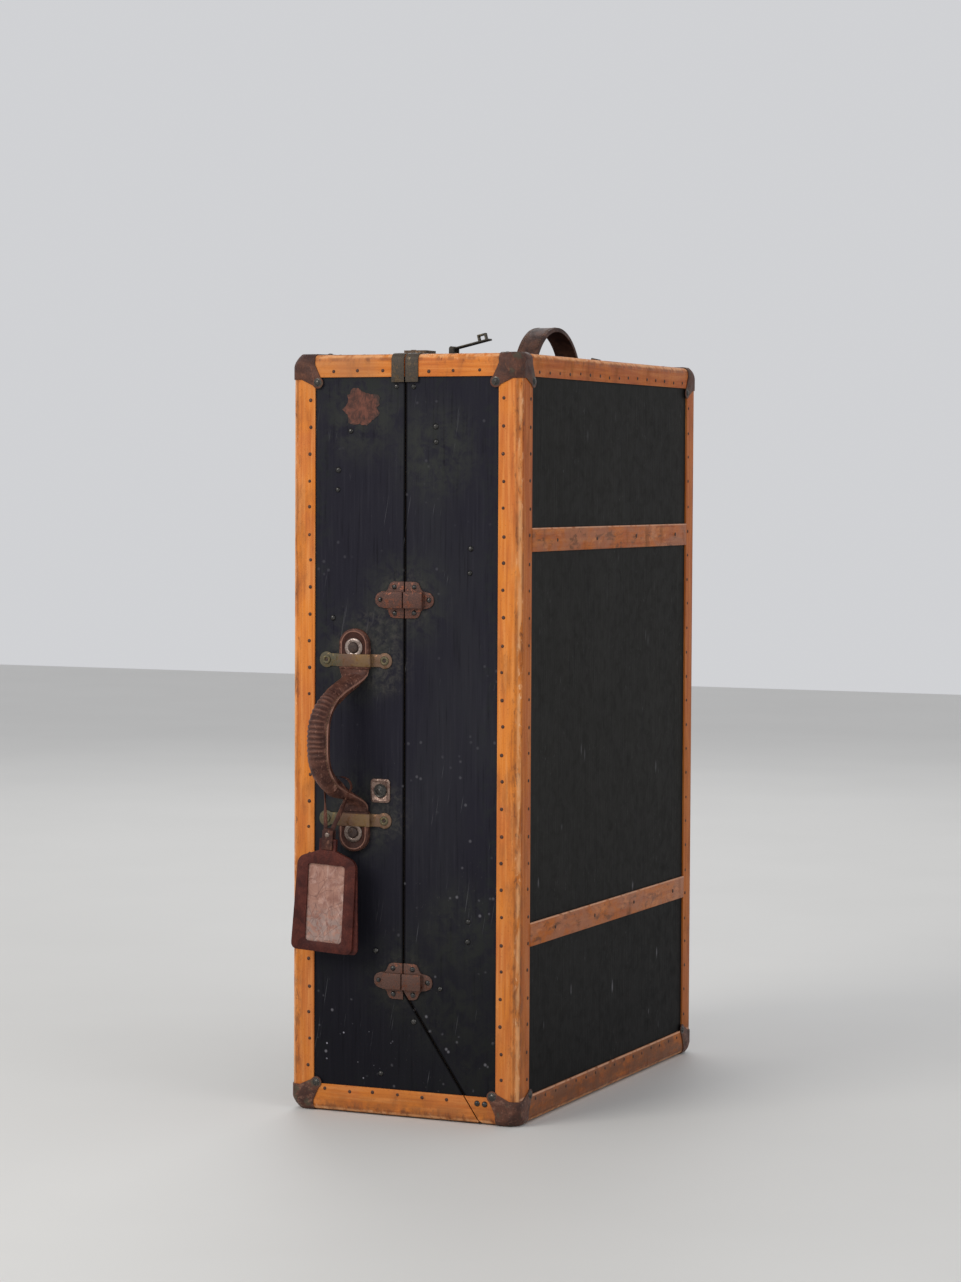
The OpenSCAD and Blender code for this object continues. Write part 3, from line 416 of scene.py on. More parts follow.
# %% [markdown]
# ## Black covering
# The panels between the bands are covered with a thin painted fibre skin. It is a blue-black, greyer on the large
# side and darker there as painted shade, with fine upright scratches, a grey bloom of dust round the fittings and
# along the borders, and small pale scuffs low down where boots and floors met it.
#
# The paint itself is uneven: it has worn into paler clouds and into fine upright streaks. Dust then sits round the
# fittings, where a cloth never reaches, and the covering darkens towards the floor.

# %% Covering: colour and dust
fittings = [(-0.001, front_y, 0.483), (-0.001, front_y, 0.128), (-0.051, front_y, 0.43), (-0.051, front_y, 0.28)]
other_bloom = [(-0.045, front_y, 0.655), (0.03, front_y, 0.62), (0.085, front_y, 0.05), (0.06, front_y, 0.175),
               (0.045, front_y, 0.1)]
powdery = [(-0.022, front_y, 0.42), (-0.03, front_y, 0.45), (-0.022, front_y, 0.285)]


def covering_ground(f, side):
    """The worn paint: blue-black on the front, greyer on the large sides and darker there as painted shade."""
    # Painted shade: each paint colour has a darker copy for the large side, which gets less light.
    ground = f.mix(side, (37, 36, 44), (31, 30, 28))
    tone = f.noise(0.09, (1, 1, 2.2), detail=5, bend=0.4)
    ground = f.mix(f.ease(tone, 0.42, 0.66, 0, 0.75), ground, f.mix(side, (43, 43, 48), (36, 35, 33)))
    streaks = f.noise(0.0022, (1, 1, 26), detail=4)
    ground = f.mix(f.ease(streaks, 0.5, 0.78, 0, 0.4), ground, f.mix(side, (52, 51, 58), (42, 41, 39)))
    return f.over(ground, (22, 21, 26), f.ease(streaks, 0.45, 0.25, 0, 0.6)), streaks


def covering_dust(f, ground, side, blotch):
    """Bloom and powder round the fittings, dull borders, and a darker foot."""
    near = f.ease(f.away_from(*fittings, *other_bloom), 0.018, 0.062, 1, 0)
    bloom = f.both(near, f.ease(blotch, 0.36, 0.62))
    ground = f.over(ground, (57, 59, 54), bloom, 0.6)
    close = f.ease(f.away_from(*fittings, *powdery), 0.016, 0.035, 1, 0)
    powder = f.ease(f.noise(0.006, detail=6, coarse=0.75, bend=0.6), 0.4, 0.68)
    ground = f.over(ground, (84, 81, 74), close, powder, 0.42)
    border = f.both(f.ease(f.from_edge(), 0.026, 0.05, 1, 0), f.ease(blotch, 0.44, 0.66))
    ground = f.over(ground, (42, 46, 43), border, f.mix_share(side, 0.5, 0.2))
    return f.over(ground, (13, 13, 15), f.ease(f.z, 0.04, 0.34, 0.62, 0)), bloom


# %% [markdown]
# Two kinds of line lie over that. The seam holds black dirt: it runs upright down to its corner and then on a
# slope, so the distance to it is measured in two ways, and the height picks one. Scratches are noise drawn out very
# long, and scuffs are the small round middles of a cell pattern.

# %% Covering: seam, scratches and scuffs
splashed = [(-0.065, -0.226, 0.062), (-0.035, -0.226, 0.062), (-0.05, -0.226, 0.05)]


def seam_line(f, ground):
    """Black dirt within two millimetres of the line where the halves meet."""
    across = f.calc("SUBTRACT", f.x, seam_x)
    up = f.calc("SUBTRACT", f.z, seam_corner)
    from_slope = f.calc("ADD", f.calc("MULTIPLY", across, seam_slope[0]), f.calc("MULTIPLY", up, seam_slope[1]))
    above = f.calc("GREATER_THAN", f.z, seam_corner)
    parting = f.calc("ADD", f.both(f.calc("ABSOLUTE", across), above),
                     f.both(f.calc("ABSOLUTE", from_slope), f.rest(above)))
    return f.over(ground, (9, 8, 10), f.ease(parting, 0.0012, 0.0026, 0.9, 0))


def covering_marks(f, ground, side):
    """Fine scratches, pale scuffs low down and a splash of specks at the front's left foot."""
    scratch = f.ease(f.noise(0.0011, (1, 1, 60), (0, 9, 0), detail=2), 0.69, 0.73)
    ground = f.over(ground, (118, 118, 122), scratch, f.ease(f.noise(0.05), 0.5, 0.6), 0.3)
    slant = f.ease(f.noise(0.0012, (1, 1, 50), (25, 28, 0), detail=2), 0.7, 0.74)
    ground = f.over(ground, (110, 108, 106), slant, f.ease(f.noise(0.07), 0.54, 0.62), 0.22)
    low = f.ease(f.z, 0.1, 0.42, 1, 0.25)
    dots = f.both(f.ease(f.cells(0.011), 0.19, 0.05), f.rest(side))
    long_marks = f.both(f.ease(f.cells(0.02, (1, 0.8, 2.8)), 0.15, 0.04), side, 0.9)
    scuff = f.both(f.calc("ADD", dots, long_marks), f.ease(f.noise(0.03, detail=3), 0.5, 0.62), low)
    ground = f.over(ground, (136, 134, 140), scuff, 0.48)
    splash = f.both(f.ease(f.cells(0.0065), 0.17, 0.09), f.ease(f.away_from(*splashed), 0.012, 0.03, 1, 0))
    return f.over(ground, (160, 158, 168), splash, f.ease(f.noise(0.007, detail=2), 0.5, 0.6, 0, 0.7))


# %% Covering: the whole finish
def covering():
    f = Finish("black covering", Roughness=0.5, Specular_IOR_Level=0.03)
    side = f.ease(f.calc("ABSOLUTE", f.x), 0.1125, 0.1145)
    ground, streaks = covering_ground(f, side)
    blotch = f.noise(0.014, detail=6, coarse=0.7, bend=0.5)
    ground, bloom = covering_dust(f, ground, side, blotch)
    ground = covering_marks(f, seam_line(f, ground), side)
    gloss = f.ease(f.calc("ADD", blotch, f.calc("MULTIPLY", bloom, 0.5)), 0.3, 1.1, 0.4, 0.72)
    relief = f.calc("ADD", f.calc("MULTIPLY", streaks, 0.7), f.calc("MULTIPLY", blotch, 0.6))
    return f.done(ground, gloss, relief, 0.00025)


covering_finish = covering()

# %% [markdown]
# ## Wood, lining and paper
# Inside, the walls are birch plywood: what shows is the ply edge at the mouth of each half, with its grain lines.
# A plain woven cotton lines the walls. Two crossed bands of threads make a weave that is fine enough to read as
# cloth. The tag's card is old paper, pinkish, stained and cracked, and the label's remnant is a rubbed brown
# layer of paper and glue.

# %% Wood, lining and paper


def plywood():
    f = Finish("birch plywood", Roughness=0.62)
    grain = f.noise(0.004, (1, 1, 16), detail=6, bend=0.8)
    plies = f.threads(0.0012, "X")
    ground = f.mix(f.ease(grain, 0.35, 0.7), (196, 158, 112), (164, 120, 78))
    ground = f.over(ground, (140, 100, 66), plies, f.ease(f.noise(0.02), 0.4, 0.6))
    lip = f.ease(f.calc("SUBTRACT", half_depth, f.calc("ABSOLUTE", f.y)), 0.0055, 0.0075, 1, 0)
    ground = f.over(ground, (30, 24, 22), lip, 0.9)
    return f.done(ground, f.ease(grain, 0.2, 0.8, 0.5, 0.7), grain, 0.0002)


def lining():
    f = Finish("woven cotton lining", Roughness=0.9, Sheen_Weight=0.25, Sheen_Roughness=0.5)
    f.shader.inputs["Sheen Tint"].default_value = paint(200, 180, 150)
    level = f.calc("MAXIMUM", f.threads(0.0011, "X"), f.threads(0.0011, "Y"))
    cloth = f.both(level, f.threads(0.0011, "Z"))
    stain = f.noise(0.07, detail=6, coarse=0.65)
    ground = f.mix(f.ease(stain, 0.4, 0.68), (152, 130, 102), (140, 117, 89))
    ground = f.over(ground, (96, 76, 58), cloth, 0.35)
    return f.done(ground, 0.88, cloth, 0.0003)


def tag_card():
    f = Finish("old tag card", Roughness=0.6, Specular_IOR_Level=0.35)
    stain = f.noise(0.014, detail=6, coarse=0.65, bend=0.7)
    ground = f.mix(f.ease(stain, 0.38, 0.66), (163, 121, 105), (134, 93, 81))
    damp_foot = f.both(f.ease(f.z, 0.18, 0.205, 1, 0), f.ease(f.noise(0.005, detail=5), 0.4, 0.56))
    ground = f.over(ground, (146, 122, 114), damp_foot)
    pale = f.noise(0.006, (1, 1, 1.6), detail=5, coarse=0.6, bend=0.6)
    ground = f.over(ground, (188, 152, 140), f.ease(pale, 0.5, 0.7, 0, 0.55))
    cracks = f.ease(f.cells(0.010, (1, 1, 1.5), cracks=True), 0.012, 0.035, 1, 0)
    ground = f.over(ground, (112, 78, 72), cracks, f.ease(stain, 0.3, 0.5), 0.25)
    fine = f.ease(f.cells(0.0035, cracks=True), 0.01, 0.06, 1, 0)
    broken = f.both(fine, f.ease(f.noise(0.012), 0.48, 0.6))
    ground = f.over(ground, (208, 170, 160), broken, 0.12)
    pale_fold = f.ease(f.cells(0.037, (1, 1, 2.6), (0, 52, 0), cracks=True), 0.003, 0.02, 1, 0)
    ground = f.over(ground, (206, 178, 166), pale_fold, f.ease(f.noise(0.013), 0.42, 0.62, 0, 0.34))
    slanting = f.ease(f.cells(0.024, (1, 1, 2.2), (0, 38, 0), cracks=True), 0.008, 0.026, 1, 0)
    ground = f.over(ground, (104, 74, 68), slanting, f.ease(f.noise(0.01), 0.4, 0.55, 0, 0.5))
    dents = f.calc("ADD", cracks, f.calc("MULTIPLY", broken, 0.4))
    relief = f.calc("SUBTRACT", f.calc("MULTIPLY", stain, 0.6), dents)
    return f.done(ground, f.ease(stain, 0.3, 0.7, 0.45, 0.7), relief, 0.0002)


def label_remnant():
    f = Finish("rubbed label remnant", Roughness=0.75, Specular_IOR_Level=0.15)
    blotch = f.noise(0.008, detail=6, coarse=0.7, bend=0.8)
    fine = f.noise(0.0018, (1, 1, 3), detail=4)
    ground = f.mix(f.ease(blotch, 0.36, 0.64), (112, 70, 58), (76, 52, 46))
    ground = f.over(ground, (62, 50, 48), f.ease(fine, 0.5, 0.72, 0, 0.8))
    reach = f.calc("ADD", f.away_from((-0.047, -0.229, 0.6613)), f.calc("MULTIPLY", blotch, 0.012))
    ground = f.over(ground, (54, 50, 48), f.ease(reach, 0.02, 0.028, 0, 0.85))
    return f.done(ground, f.ease(fine, 0.3, 0.7, 0.6, 0.85), f.calc("ADD", blotch, fine), 0.0003)


wood_finish, lining_finish, card_finish, patch_finish = plywood(), lining(), tag_card(), label_remnant()

# %% [markdown]
# ## Leathers
# The caps, the grip, the tag and the strap handle are leather of different ages. Real leather shows fine pebbled
# cells, longer creases, darker handled parts and pale rubbed high spots. One recipe serves them all with its own
# colours, since the tannery's method was the same and only the dye and the wear differ.

# %% Leathers


def leather(name, ground_colour, dark, pale, grain=0.0011, wear=0.5, green=0.0, toned=False, **constants):
    f = Finish(name, **{"Roughness": 0.5, "Specular_IOR_Level": 0.18, **constants})
    blotch = f.noise(0.016, detail=6, coarse=0.65, bend=0.6)
    pebble = f.cells(grain)
    creases = f.noise(0.0035, (1, 1, 2.2), detail=5, bend=1.5)
    ground = f.mix(f.ease(blotch, 0.36, 0.66), ground_colour, dark)
    ground = f.over(ground, pale, f.ease(creases, 0.56, 0.74, 0, wear))
    ground = f.over(ground, dark, f.ease(creases, 0.42, 0.28, 0, 0.7))
    ground = f.over(ground, dark, f.ease(pebble, 0.45, 0.8, 0, 0.35))
    if green:
        mould = f.both(f.ease(f.noise(0.011, detail=3), 0.54, 0.68), f.ease(pebble, 0, 0.4))
        ground = f.over(ground, (72, 76, 62), mould, green)
        scraped = f.ease(f.noise(0.004, (1.6, 1.6, 1), detail=6, coarse=0.75), 0.52, 0.64)
        ground = f.over(ground, (134, 98, 82), f.ease(f.z, 0.03, 0.07, 1, 0.15), scraped, 0.55)
    # The tone attribute lightens or darkens the leather; on the grip it carries painted highlight on the ridges and
    # painted shade in the grooves.
    if toned:
        tone = f.tree.nodes.new("ShaderNodeAttribute")
        tone.attribute_name = "tone"
        ground = f.over(ground, dark, f.ease(tone.outputs["Fac"], 0.0, -1.0, 0, 0.8))
        ground = f.over(ground, pale, f.ease(tone.outputs["Fac"], 0.0, 1.0, 0, 0.75))
    gloss = f.ease(f.calc("ADD", creases, f.calc("MULTIPLY", blotch, 0.6)), 0.4, 1.2, 0.38, 0.66)
    relief = f.calc("SUBTRACT", creases, f.calc("MULTIPLY", pebble, 0.5))
    return f.done(ground, gloss, relief, 0.00035)


cap_finish = leather("cap leather", (94, 60, 47), (62, 41, 36), (134, 88, 66), wear=0.6, green=0.6)
grip_finish = leather("grip leather", (98, 62, 50), (56, 32, 27), (158, 116, 100), wear=0.75, toned=True)
tag_finish = leather("tag leather", (84, 38, 30), (56, 22, 19), (116, 62, 50), wear=0.4)
thong_finish = leather("thong leather", (88, 52, 40), (54, 30, 26), (146, 104, 84), wear=0.7)
end_strap_finish = leather("end strap leather", (86, 57, 45), (48, 31, 26), (122, 88, 68), wear=0.5)

# %% [markdown]
# ## Metals
# The fittings are thin sheet steel, some of it brass plated and some painted brown, all tarnished. Under a coat of
# dirt the metal only glints on rubbed spots, so each recipe mixes a metallic share with patches of rust, old
# paint and verdigris. The share of metal follows the same mask as the colour, as it does on the real piece.

# %% Metals


def metal(name, bright, dull, stain, coat=0.55, size=0.009, rough=(0.32, 0.62), below=None, across=()):
    f = Finish(name)
    blotch = f.noise(size, detail=6, coarse=0.7, bend=0.5)
    fine = f.noise(0.0012, detail=4, coarse=0.7)
    covered = f.ease(blotch, 0.62 - 0.3 * coat, 0.74 - 0.3 * coat)
    ground = f.mix(f.ease(fine, 0.3, 0.7), bright, dull)
    ground = f.mix(covered, ground, f.mix(f.ease(fine, 0.42, 0.6), dull, stain))
    if below:
        ground = f.over(ground, below, f.ease(f.z, 0.33, 0.37, 0.42, 0))
    if across:
        uneven = f.calc("MULTIPLY", f.calc("SUBTRACT", f.noise(0.004, detail=6, coarse=0.75), 0.5), 0.04)
        spread_x = f.calc("ADD", f.x, uneven)
        for start, colour in across:
            ground = f.over(ground, colour, f.ease(spread_x, start - 0.004, start + 0.006, 0, 0.5))
    f.feed(f.shader.inputs["Metallic"], f.calc("SUBTRACT", 0.95, f.calc("MULTIPLY", covered, 0.75)))
    gloss = f.ease(f.calc("ADD", covered, fine), 0.2, 1.6, *rough)
    return f.done(ground, gloss, f.calc("ADD", fine, f.calc("MULTIPLY", blotch, 0.8)), 0.00015)


steel_finish = metal("tarnished steel", (150, 146, 140), (96, 90, 84), (70, 56, 46), 0.5)
dark_steel_finish = metal("dark hasp steel", (96, 88, 72), (58, 52, 42), (48, 40, 32), 0.7)
brass_finish = metal("tarnished brass", (132, 100, 66), (96, 70, 48), (62, 52, 38), 0.85)
dowel_finish = metal("brown dowel plates", (136, 86, 68), (92, 56, 44), (62, 38, 30), 0.85, size=0.005,
                     below=(80, 56, 45))
bracket_finish = metal("worn bracket plating", (124, 96, 68), (88, 68, 50), (64, 54, 40), 0.8, size=0.005,
                       across=[(-0.2, (82, 82, 58)), (-0.066, (112, 66, 48)), (-0.051, (122, 96, 54)),
                               (-0.034, (106, 80, 72))])
dome_finish = metal("dark dome rivets", (92, 90, 88), (44, 43, 42), (26, 25, 24), 0.6, size=0.003,
                    rough=(0.14, 0.32))
ferrule_finish = metal("bronze ferrules", (108, 92, 72), (72, 60, 48), (52, 46, 38), 0.85)
rivet_finish = metal("rivet heads", (104, 100, 94), (52, 50, 46), (30, 28, 26), 0.75, size=0.004,
                     rough=(0.2, 0.45))
tack_finish = metal("tack heads", (112, 78, 58), (78, 48, 34), (58, 34, 26), 0.9, size=0.003)

# %% [markdown]
# ## Finishes for the CAD pieces
# Most CAD nodes have the right shape already, and only need their real finish. A dictionary of finish to nodes
# keeps it readable, and a last line makes sure that no node was forgotten.


# %% Finishes for the CAD pieces
def both_halves(*names):
    return [f"{half}_{name}" for half in ("base", "lid") for name in names]


worn = {
    wood_finish: both_halves("side_panel", "front_wall", "back_wall", "top_end", "bottom_end"),
    covering_finish: both_halves("cover"),
    lining_finish: both_halves("lining"),
    binding_finish: both_halves("binding"),
    slat_finish: both_halves("slats"),
    tack_finish: both_halves("tacks", "slat_nails"),
    cap_finish: both_halves("corner_caps"),
    dome_finish: both_halves("dowel_rivets", "wall_rivets"),
    bracket_finish: ["handle_brackets"],
    rivet_finish: both_halves("cap_rivets") + ["bracket_rivets", "tab_studs", "snap_stud", "tag_rivet"],
    dowel_finish: ["base_dowel_housings", "lid_dowel_tongues"],
    ferrule_finish: both_halves("ferrules"),
    patch_finish: ["label_patch"],
    brass_finish: ["key_plug_front", "key_plug_back", "lock_cases", "snap_plate"],
    grip_finish: ["handle_tabs", "handle_grip"],
    tag_finish: ["tag_back", "tag_front"],
    card_finish: ["tag_card"],
    thong_finish: ["tag_strap"],
    end_strap_finish: ["end_handle"],
    dark_steel_finish: ["hasp_hinges", "hasp_front", "hasp_back", "end_plates"],
    steel_finish: ["handle_pins", "grip_sleeves", "hanging_rail", "hinge_base_leaves", "hinge_lid_leaves"],
}
for finish, names in worn.items():
    for name in names:
        nodes[name].data.materials.clear()
        nodes[name].data.materials.append(finish)
dressed = [name for names in worn.values() for name in names]
print("dressed", len(dressed), "nodes; forgotten:", sorted(set(nodes) - set(dressed)))

# %% [markdown]
# ## From CAD triangles to worn edges
# A CAD node comes as loose triangles with knife-sharp edges. On an old trunk no edge is sharp: leather is skived,
# sheet steel is deburred and paint builds up. So most fittings are a copy of their CAD node, merged into one
# clean mesh, with every sharp edge bevelled by the width that the real material shows.

# %% Worn edges


def clean_copy(name, whole=True):
    """A CAD node with shared corners and, where asked, with its flat faces whole."""
    bm = bmesh.new()
    bm.from_mesh(nodes[name].data)
    bmesh.ops.remove_doubles(bm, verts=bm.verts, dist=0.00002)
    if whole:
        bmesh.ops.dissolve_limit(bm, angle_limit=math.radians(2), verts=bm.verts, edges=bm.edges)
    return bm


def rounded(bm, edges, width, segments):
    """Bevels these edges into a soft round."""
    bmesh.ops.bevel(bm, geom=edges, offset=width, offset_type="OFFSET", segments=segments, profile=0.5,
                    affect="EDGES", clamp_overlap=True, material=-1)


def worn_edges(bm, width):
    """Rounds every edge that turns by more than 40 degrees."""
    sharp = [e for e in bm.edges if len(e.link_faces) == 2 and e.calc_face_angle(0) > math.radians(40)]
    rounded(bm, sharp, width, 2)
    return bm


def add_piece(name, bm, finish, body, slot, stands_for=(), smooth=38):
    """The mesh as a finished piece that rides on its CAD body."""
    bmesh.ops.recalc_face_normals(bm, faces=bm.faces)
    open_edges = sum(len(e.link_faces) != 2 for e in bm.edges)
    mesh = bpy.data.meshes.new(name)
    bm.to_mesh(mesh)
    bm.free()
    mesh.polygons.foreach_set("use_smooth", [True] * len(mesh.polygons))
    mesh.set_sharp_from_angle(angle=math.radians(smooth))
    mesh.materials.append(finish)
    piece = bpy.data.objects.new(name, mesh)
    studio.collection.objects.link(piece)
    if body:
        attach(piece, body)
    if stands_for:
        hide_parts(*stands_for)
    print(name, "has", len(mesh.polygons), "faces" + (f" and {open_edges} open edges" if open_edges else ""))
    return piece


# %% Softened fittings
softened = [
    ("base_corner_caps", 0.0004, cap_finish, "base", "cap"),
    ("lid_corner_caps", 0.0004, cap_finish, "lid", "cap"),
    ("base_slats", 0.0007, slat_finish, "base", "slat"),
    ("lid_slats", 0.0007, slat_finish, "lid", "slat"),
    ("base_binding", 0.0004, binding_finish, "base", "binding"),
    ("lid_binding", 0.0004, binding_finish, "lid", "binding"),
    ("base_dowel_housings", 0.0005, dowel_finish, "base", "dowel"),
    ("lid_dowel_tongues", 0.0005, dowel_finish, "lid", "dowel"),
    ("base_ferrules", 0.0004, ferrule_finish, "base", "hardware"),
    ("lid_ferrules", 0.0004, ferrule_finish, "lid", "hardware"),
    ("lock_cases", 0.0009, brass_finish, "base", "hardware"),
    ("hasp_hinges", 0.0004, dark_steel_finish, "lid", "hardware"),
    ("hasp_front", 0.0004, dark_steel_finish, "hasp_front_arm", "hardware"),
    ("hasp_back", 0.0004, dark_steel_finish, "hasp_back_arm", "hardware"),
    ("end_plates", 0.0006, dark_steel_finish, "lid", "hardware"),
    ("end_handle", 0.0009, end_strap_finish, "lid", "handle_leather"),
    ("handle_brackets", 0.0006, bracket_finish, "base", "hardware"),
]
for node, width, finish, body, slot in softened:
    bm = clean_copy(node, whole="dowel" not in node)
    add_piece("worn_" + node, worn_edges(bm, width), finish, body, slot, [node])

# %% [markdown]
# ## Round heads
# Tacks, nails and rivets are small round heads, hammered home one at a time, so none sits quite like the next.
# Each CAD head tells where its own stands and which way it faces. A low sphere, flattened and tipped a little by
# a seeded random number, stands for it. Hundreds repeat, so each has only a few dozen faces.

# %% Round heads
chance = random.Random(28)


def head_places(name):
    """The foot and the facing of each separate head in a CAD node."""
    bm = bmesh.new()
    bm.from_mesh(nodes[name].data)
    bmesh.ops.remove_doubles(bm, verts=bm.verts, dist=0.00002)
    found, seen = [], set()
    for vert in bm.verts:
        if vert in seen:
            continue
        island, queue = [], [vert]
        seen.add(vert)
        while queue:
            corner = queue.pop()
            island.append(corner.co.copy())
            for edge in corner.link_edges:
                other = edge.other_vert(corner)
                if other not in seen:
                    seen.add(other)
                    queue.append(other)
        low = Vector([min(c[i] for c in island) for i in range(3)])
        high = Vector([max(c[i] for c in island) for i in range(3)])
        size = high - low
        axis = min(range(3), key=lambda i: size[i])
        middle = (low + high) / 2
        outward = 1 if (middle - Vector((0, 0, height / 2)))[axis] > 0 else -1
        facing = Vector([outward if i == axis else 0 for i in range(3)])
        found.append((middle - facing * size[axis] / 2, facing))
    bm.free()
    return found


def round_head(bm, place, facing, radius, height, sides=12, rings=6, tip=3.0):
    """A flattened ball, half of it sunk in what it holds."""
    made = bmesh.ops.create_uvsphere(bm, u_segments=sides, v_segments=rings, radius=1)["verts"]
    for vert in made:
        vert.co.z *= 1 if vert.co.z > 0 else 0.25
    lean = Matrix.Rotation(math.radians(chance.uniform(-tip, tip)), 4, "X") @ Matrix.Rotation(
        math.radians(chance.uniform(-tip, tip)), 4, "Y")
    frame_of_head = facing.to_track_quat("Z", "Y").to_matrix().to_4x4()
    size = Matrix.Diagonal((radius, radius, height, 1))
    bmesh.ops.transform(bm, matrix=Matrix.Translation(place) @ frame_of_head @ lean @ size, verts=made)


def head_piece(name, node, finish, body, slot, radius, height, shift=0.0, sides=10, washer=None):
    """All the heads of one CAD node as one piece, each a little out of line."""
    bm = bmesh.new()
    for place, facing in head_places(node):
        along = Vector([0 if facing[i] else chance.uniform(-shift, shift) for i in range(3)])
        size = radius * chance.uniform(0.9, 1.1)
        round_head(bm, place + along, facing, size, height * chance.uniform(0.85, 1.1), sides)
        if washer:
            round_head(bm, place + along, facing, size * washer, height * 0.28, sides + 4, 4, 0.5)
    add_piece(name, bm, finish, body, slot, [node], smooth=60)


for half in ("base", "lid"):
    head_piece(f"{half}_tack_heads", f"{half}_tacks", tack_finish, half, "tack", 0.0017, 0.0007, 0.0009)
    head_piece(f"{half}_nail_heads", f"{half}_slat_nails", tack_finish, half, "tack", 0.0020, 0.0008, 0.0008)
    head_piece(f"{half}_cap_heads", f"{half}_cap_rivets", rivet_finish, half, "hardware", 0.0029, 0.0014,
               0.0003, 16, 1.3)
    head_piece(f"{half}_dowel_heads", f"{half}_dowel_rivets", dome_finish, half, "hardware", 0.0024, 0.0015,
               0.0003, 16)
    head_piece(f"{half}_wall_heads", f"{half}_wall_rivets", dome_finish, half, "hardware", 0.0027, 0.0021,
               0.0003, 20)

# %% [markdown]
# ## Two ways to make a round thing
# A stud or an eyelet is stamped round its own middle, so half of its outline, spun once about that middle, makes
# it. A grip or a strap is long and bent, so a ring of corners is extruded from station to station along its path,
# and each new ring is put where the leather's section lies there. Both start from very few vertices.

# %% Turned and pulled shapes
mm = 0.001


def ease(value, low, high):
    """0 below low, 1 above high and a soft S between them."""
    t = min(max((value - low) / (high - low), 0), 1)
    return t * t * (3 - 2 * t)


def turned(bm, profile, place, facing, steps=28, ring=False):
    """Spins a profile of (radius, height) in millimetres about its middle and stands it on place."""
    before = set(bm.verts)
    outline = [bm.verts.new((radius * mm, 0, height * mm)) for radius, height in profile]
    edges = [bm.edges.new(pair) for pair in zip(outline, outline[1:] + (outline[:1] if ring else []))]
    bmesh.ops.spin(bm, geom=outline + edges, cent=(0, 0, 0), axis=(0, 0, 1), angle=math.tau, steps=steps,
                   use_merge=True, use_duplicate=False)
    bmesh.ops.remove_doubles(bm, verts=[v for v in bm.verts if v not in before], dist=0.000005)
    stand = Matrix.Translation(place) @ Vector(facing).to_track_quat("Z", "Y").to_matrix().to_4x4()
    bmesh.ops.transform(bm, matrix=stand, verts=[v for v in bm.verts if v not in before])


def pulled(sides, stations, corner, tone=None):
    """Extrudes a ring of corners from station to station; corner(station, turn) says where each one goes."""
    bm = bmesh.new()
    tone_of = bm.verts.layers.float.new("tone")
    turn_of = bm.verts.layers.float.new("turn")
    ring = bmesh.ops.create_circle(bm, segments=sides, radius=1, cap_ends=False)["verts"]
    for vert in ring:
        vert[turn_of] = math.atan2(vert.co.y, vert.co.x)
        vert[tone_of] = tone(stations[0], vert[turn_of]) if tone else 0
        vert.co = corner(stations[0], vert[turn_of])
    edges = list(bm.edges)
    bmesh.ops.contextual_create(bm, geom=edges)
    for station in stations[1:]:
        made = bmesh.ops.extrude_edge_only(bm, edges=edges)["geom"]
        new = [g for g in made if isinstance(g, bmesh.types.BMVert)]
        edges = list(dict.fromkeys(e for v in new for e in v.link_edges if e.other_vert(v) in new))
        for vert in new:
            vert[tone_of] = tone(station, vert[turn_of]) if tone else 0
            vert.co = corner(station, vert[turn_of])
    bmesh.ops.contextual_create(bm, geom=edges)
    return bm


# %% [markdown]
# ## The carry handle's grip
# The grip is felt and cord wrapped in a leather outside and a flat leather lining, sewn together along both
# edges. The leather is drawn into fine ridges where fingers have bent it, and the sewn edges stand up as a thin
# seam. The ridges and the seam are in the shape itself, so they hold under any light.

# %% Grip: its path
handle_middle = Matrix.Translation((-0.051, -0.2295, 0.3515))
lean_degrees = -18
grip_lean = Matrix.Rotation(math.radians(lean_degrees), 4, "Z")
grip_half, grip_out = 56.5, 47


def grip_centre(a):
    """How far out and how high the grip's middle lies at an angle along it, in millimetres."""
    return Vector((grip_out * (1 - abs(math.cos(a)) ** 3), grip_half * math.cos(a)))


def grip_point(a, turn, proud=0.0):
    """A point over the grip's surface: a runs from its upper end to its lower one, turn goes round it."""
    slope = 3 * grip_out * math.copysign(math.cos(a) ** 2, math.cos(a))
    normal = Vector((grip_half, slope)).normalized()
    radius = 3.2 + 7.8 * math.sin(a) + proud
    out, up = grip_centre(a) + normal * radius * math.cos(turn)
    return handle_middle @ grip_lean @ (Vector((radius * math.sin(turn), -out, up)) * mm)


def grip_stations(first, last, count):
    """Angles along the grip, each with the length of leather from the first one."""
    rows, length = [], 0.0
    for i in range(count + 1):
        a = math.radians(first + (last - first) * i / count)
        length += (grip_centre(a) - grip_centre(rows[-1][0])).length if rows else 0
        rows.append((a, length))
    return rows


grip_rows = grip_stations(38, 142, 190)
print("the padding is", round(grip_rows[-1][1]), "mm long and leans by", -lean_degrees, "degrees")


# %% Grip: ridges and sewn edges
def groove(station, turn):
    """1 in a groove between two ridges, 0 on a ridge and wherever the leather is smooth."""
    a, length = station
    outer = 1 - ease(abs(turn), math.radians(62), math.radians(78))
    handled = ease(math.degrees(a), 42, 50) * (1 - ease(math.degrees(a), 98, 112))
    waver = noise.noise(Vector((length * 0.12, turn * 0.8, 3.0)))
    return outer, handled, outer * handled * (0.5 - 0.5 * math.cos(math.tau * (length + waver) / 4.3))


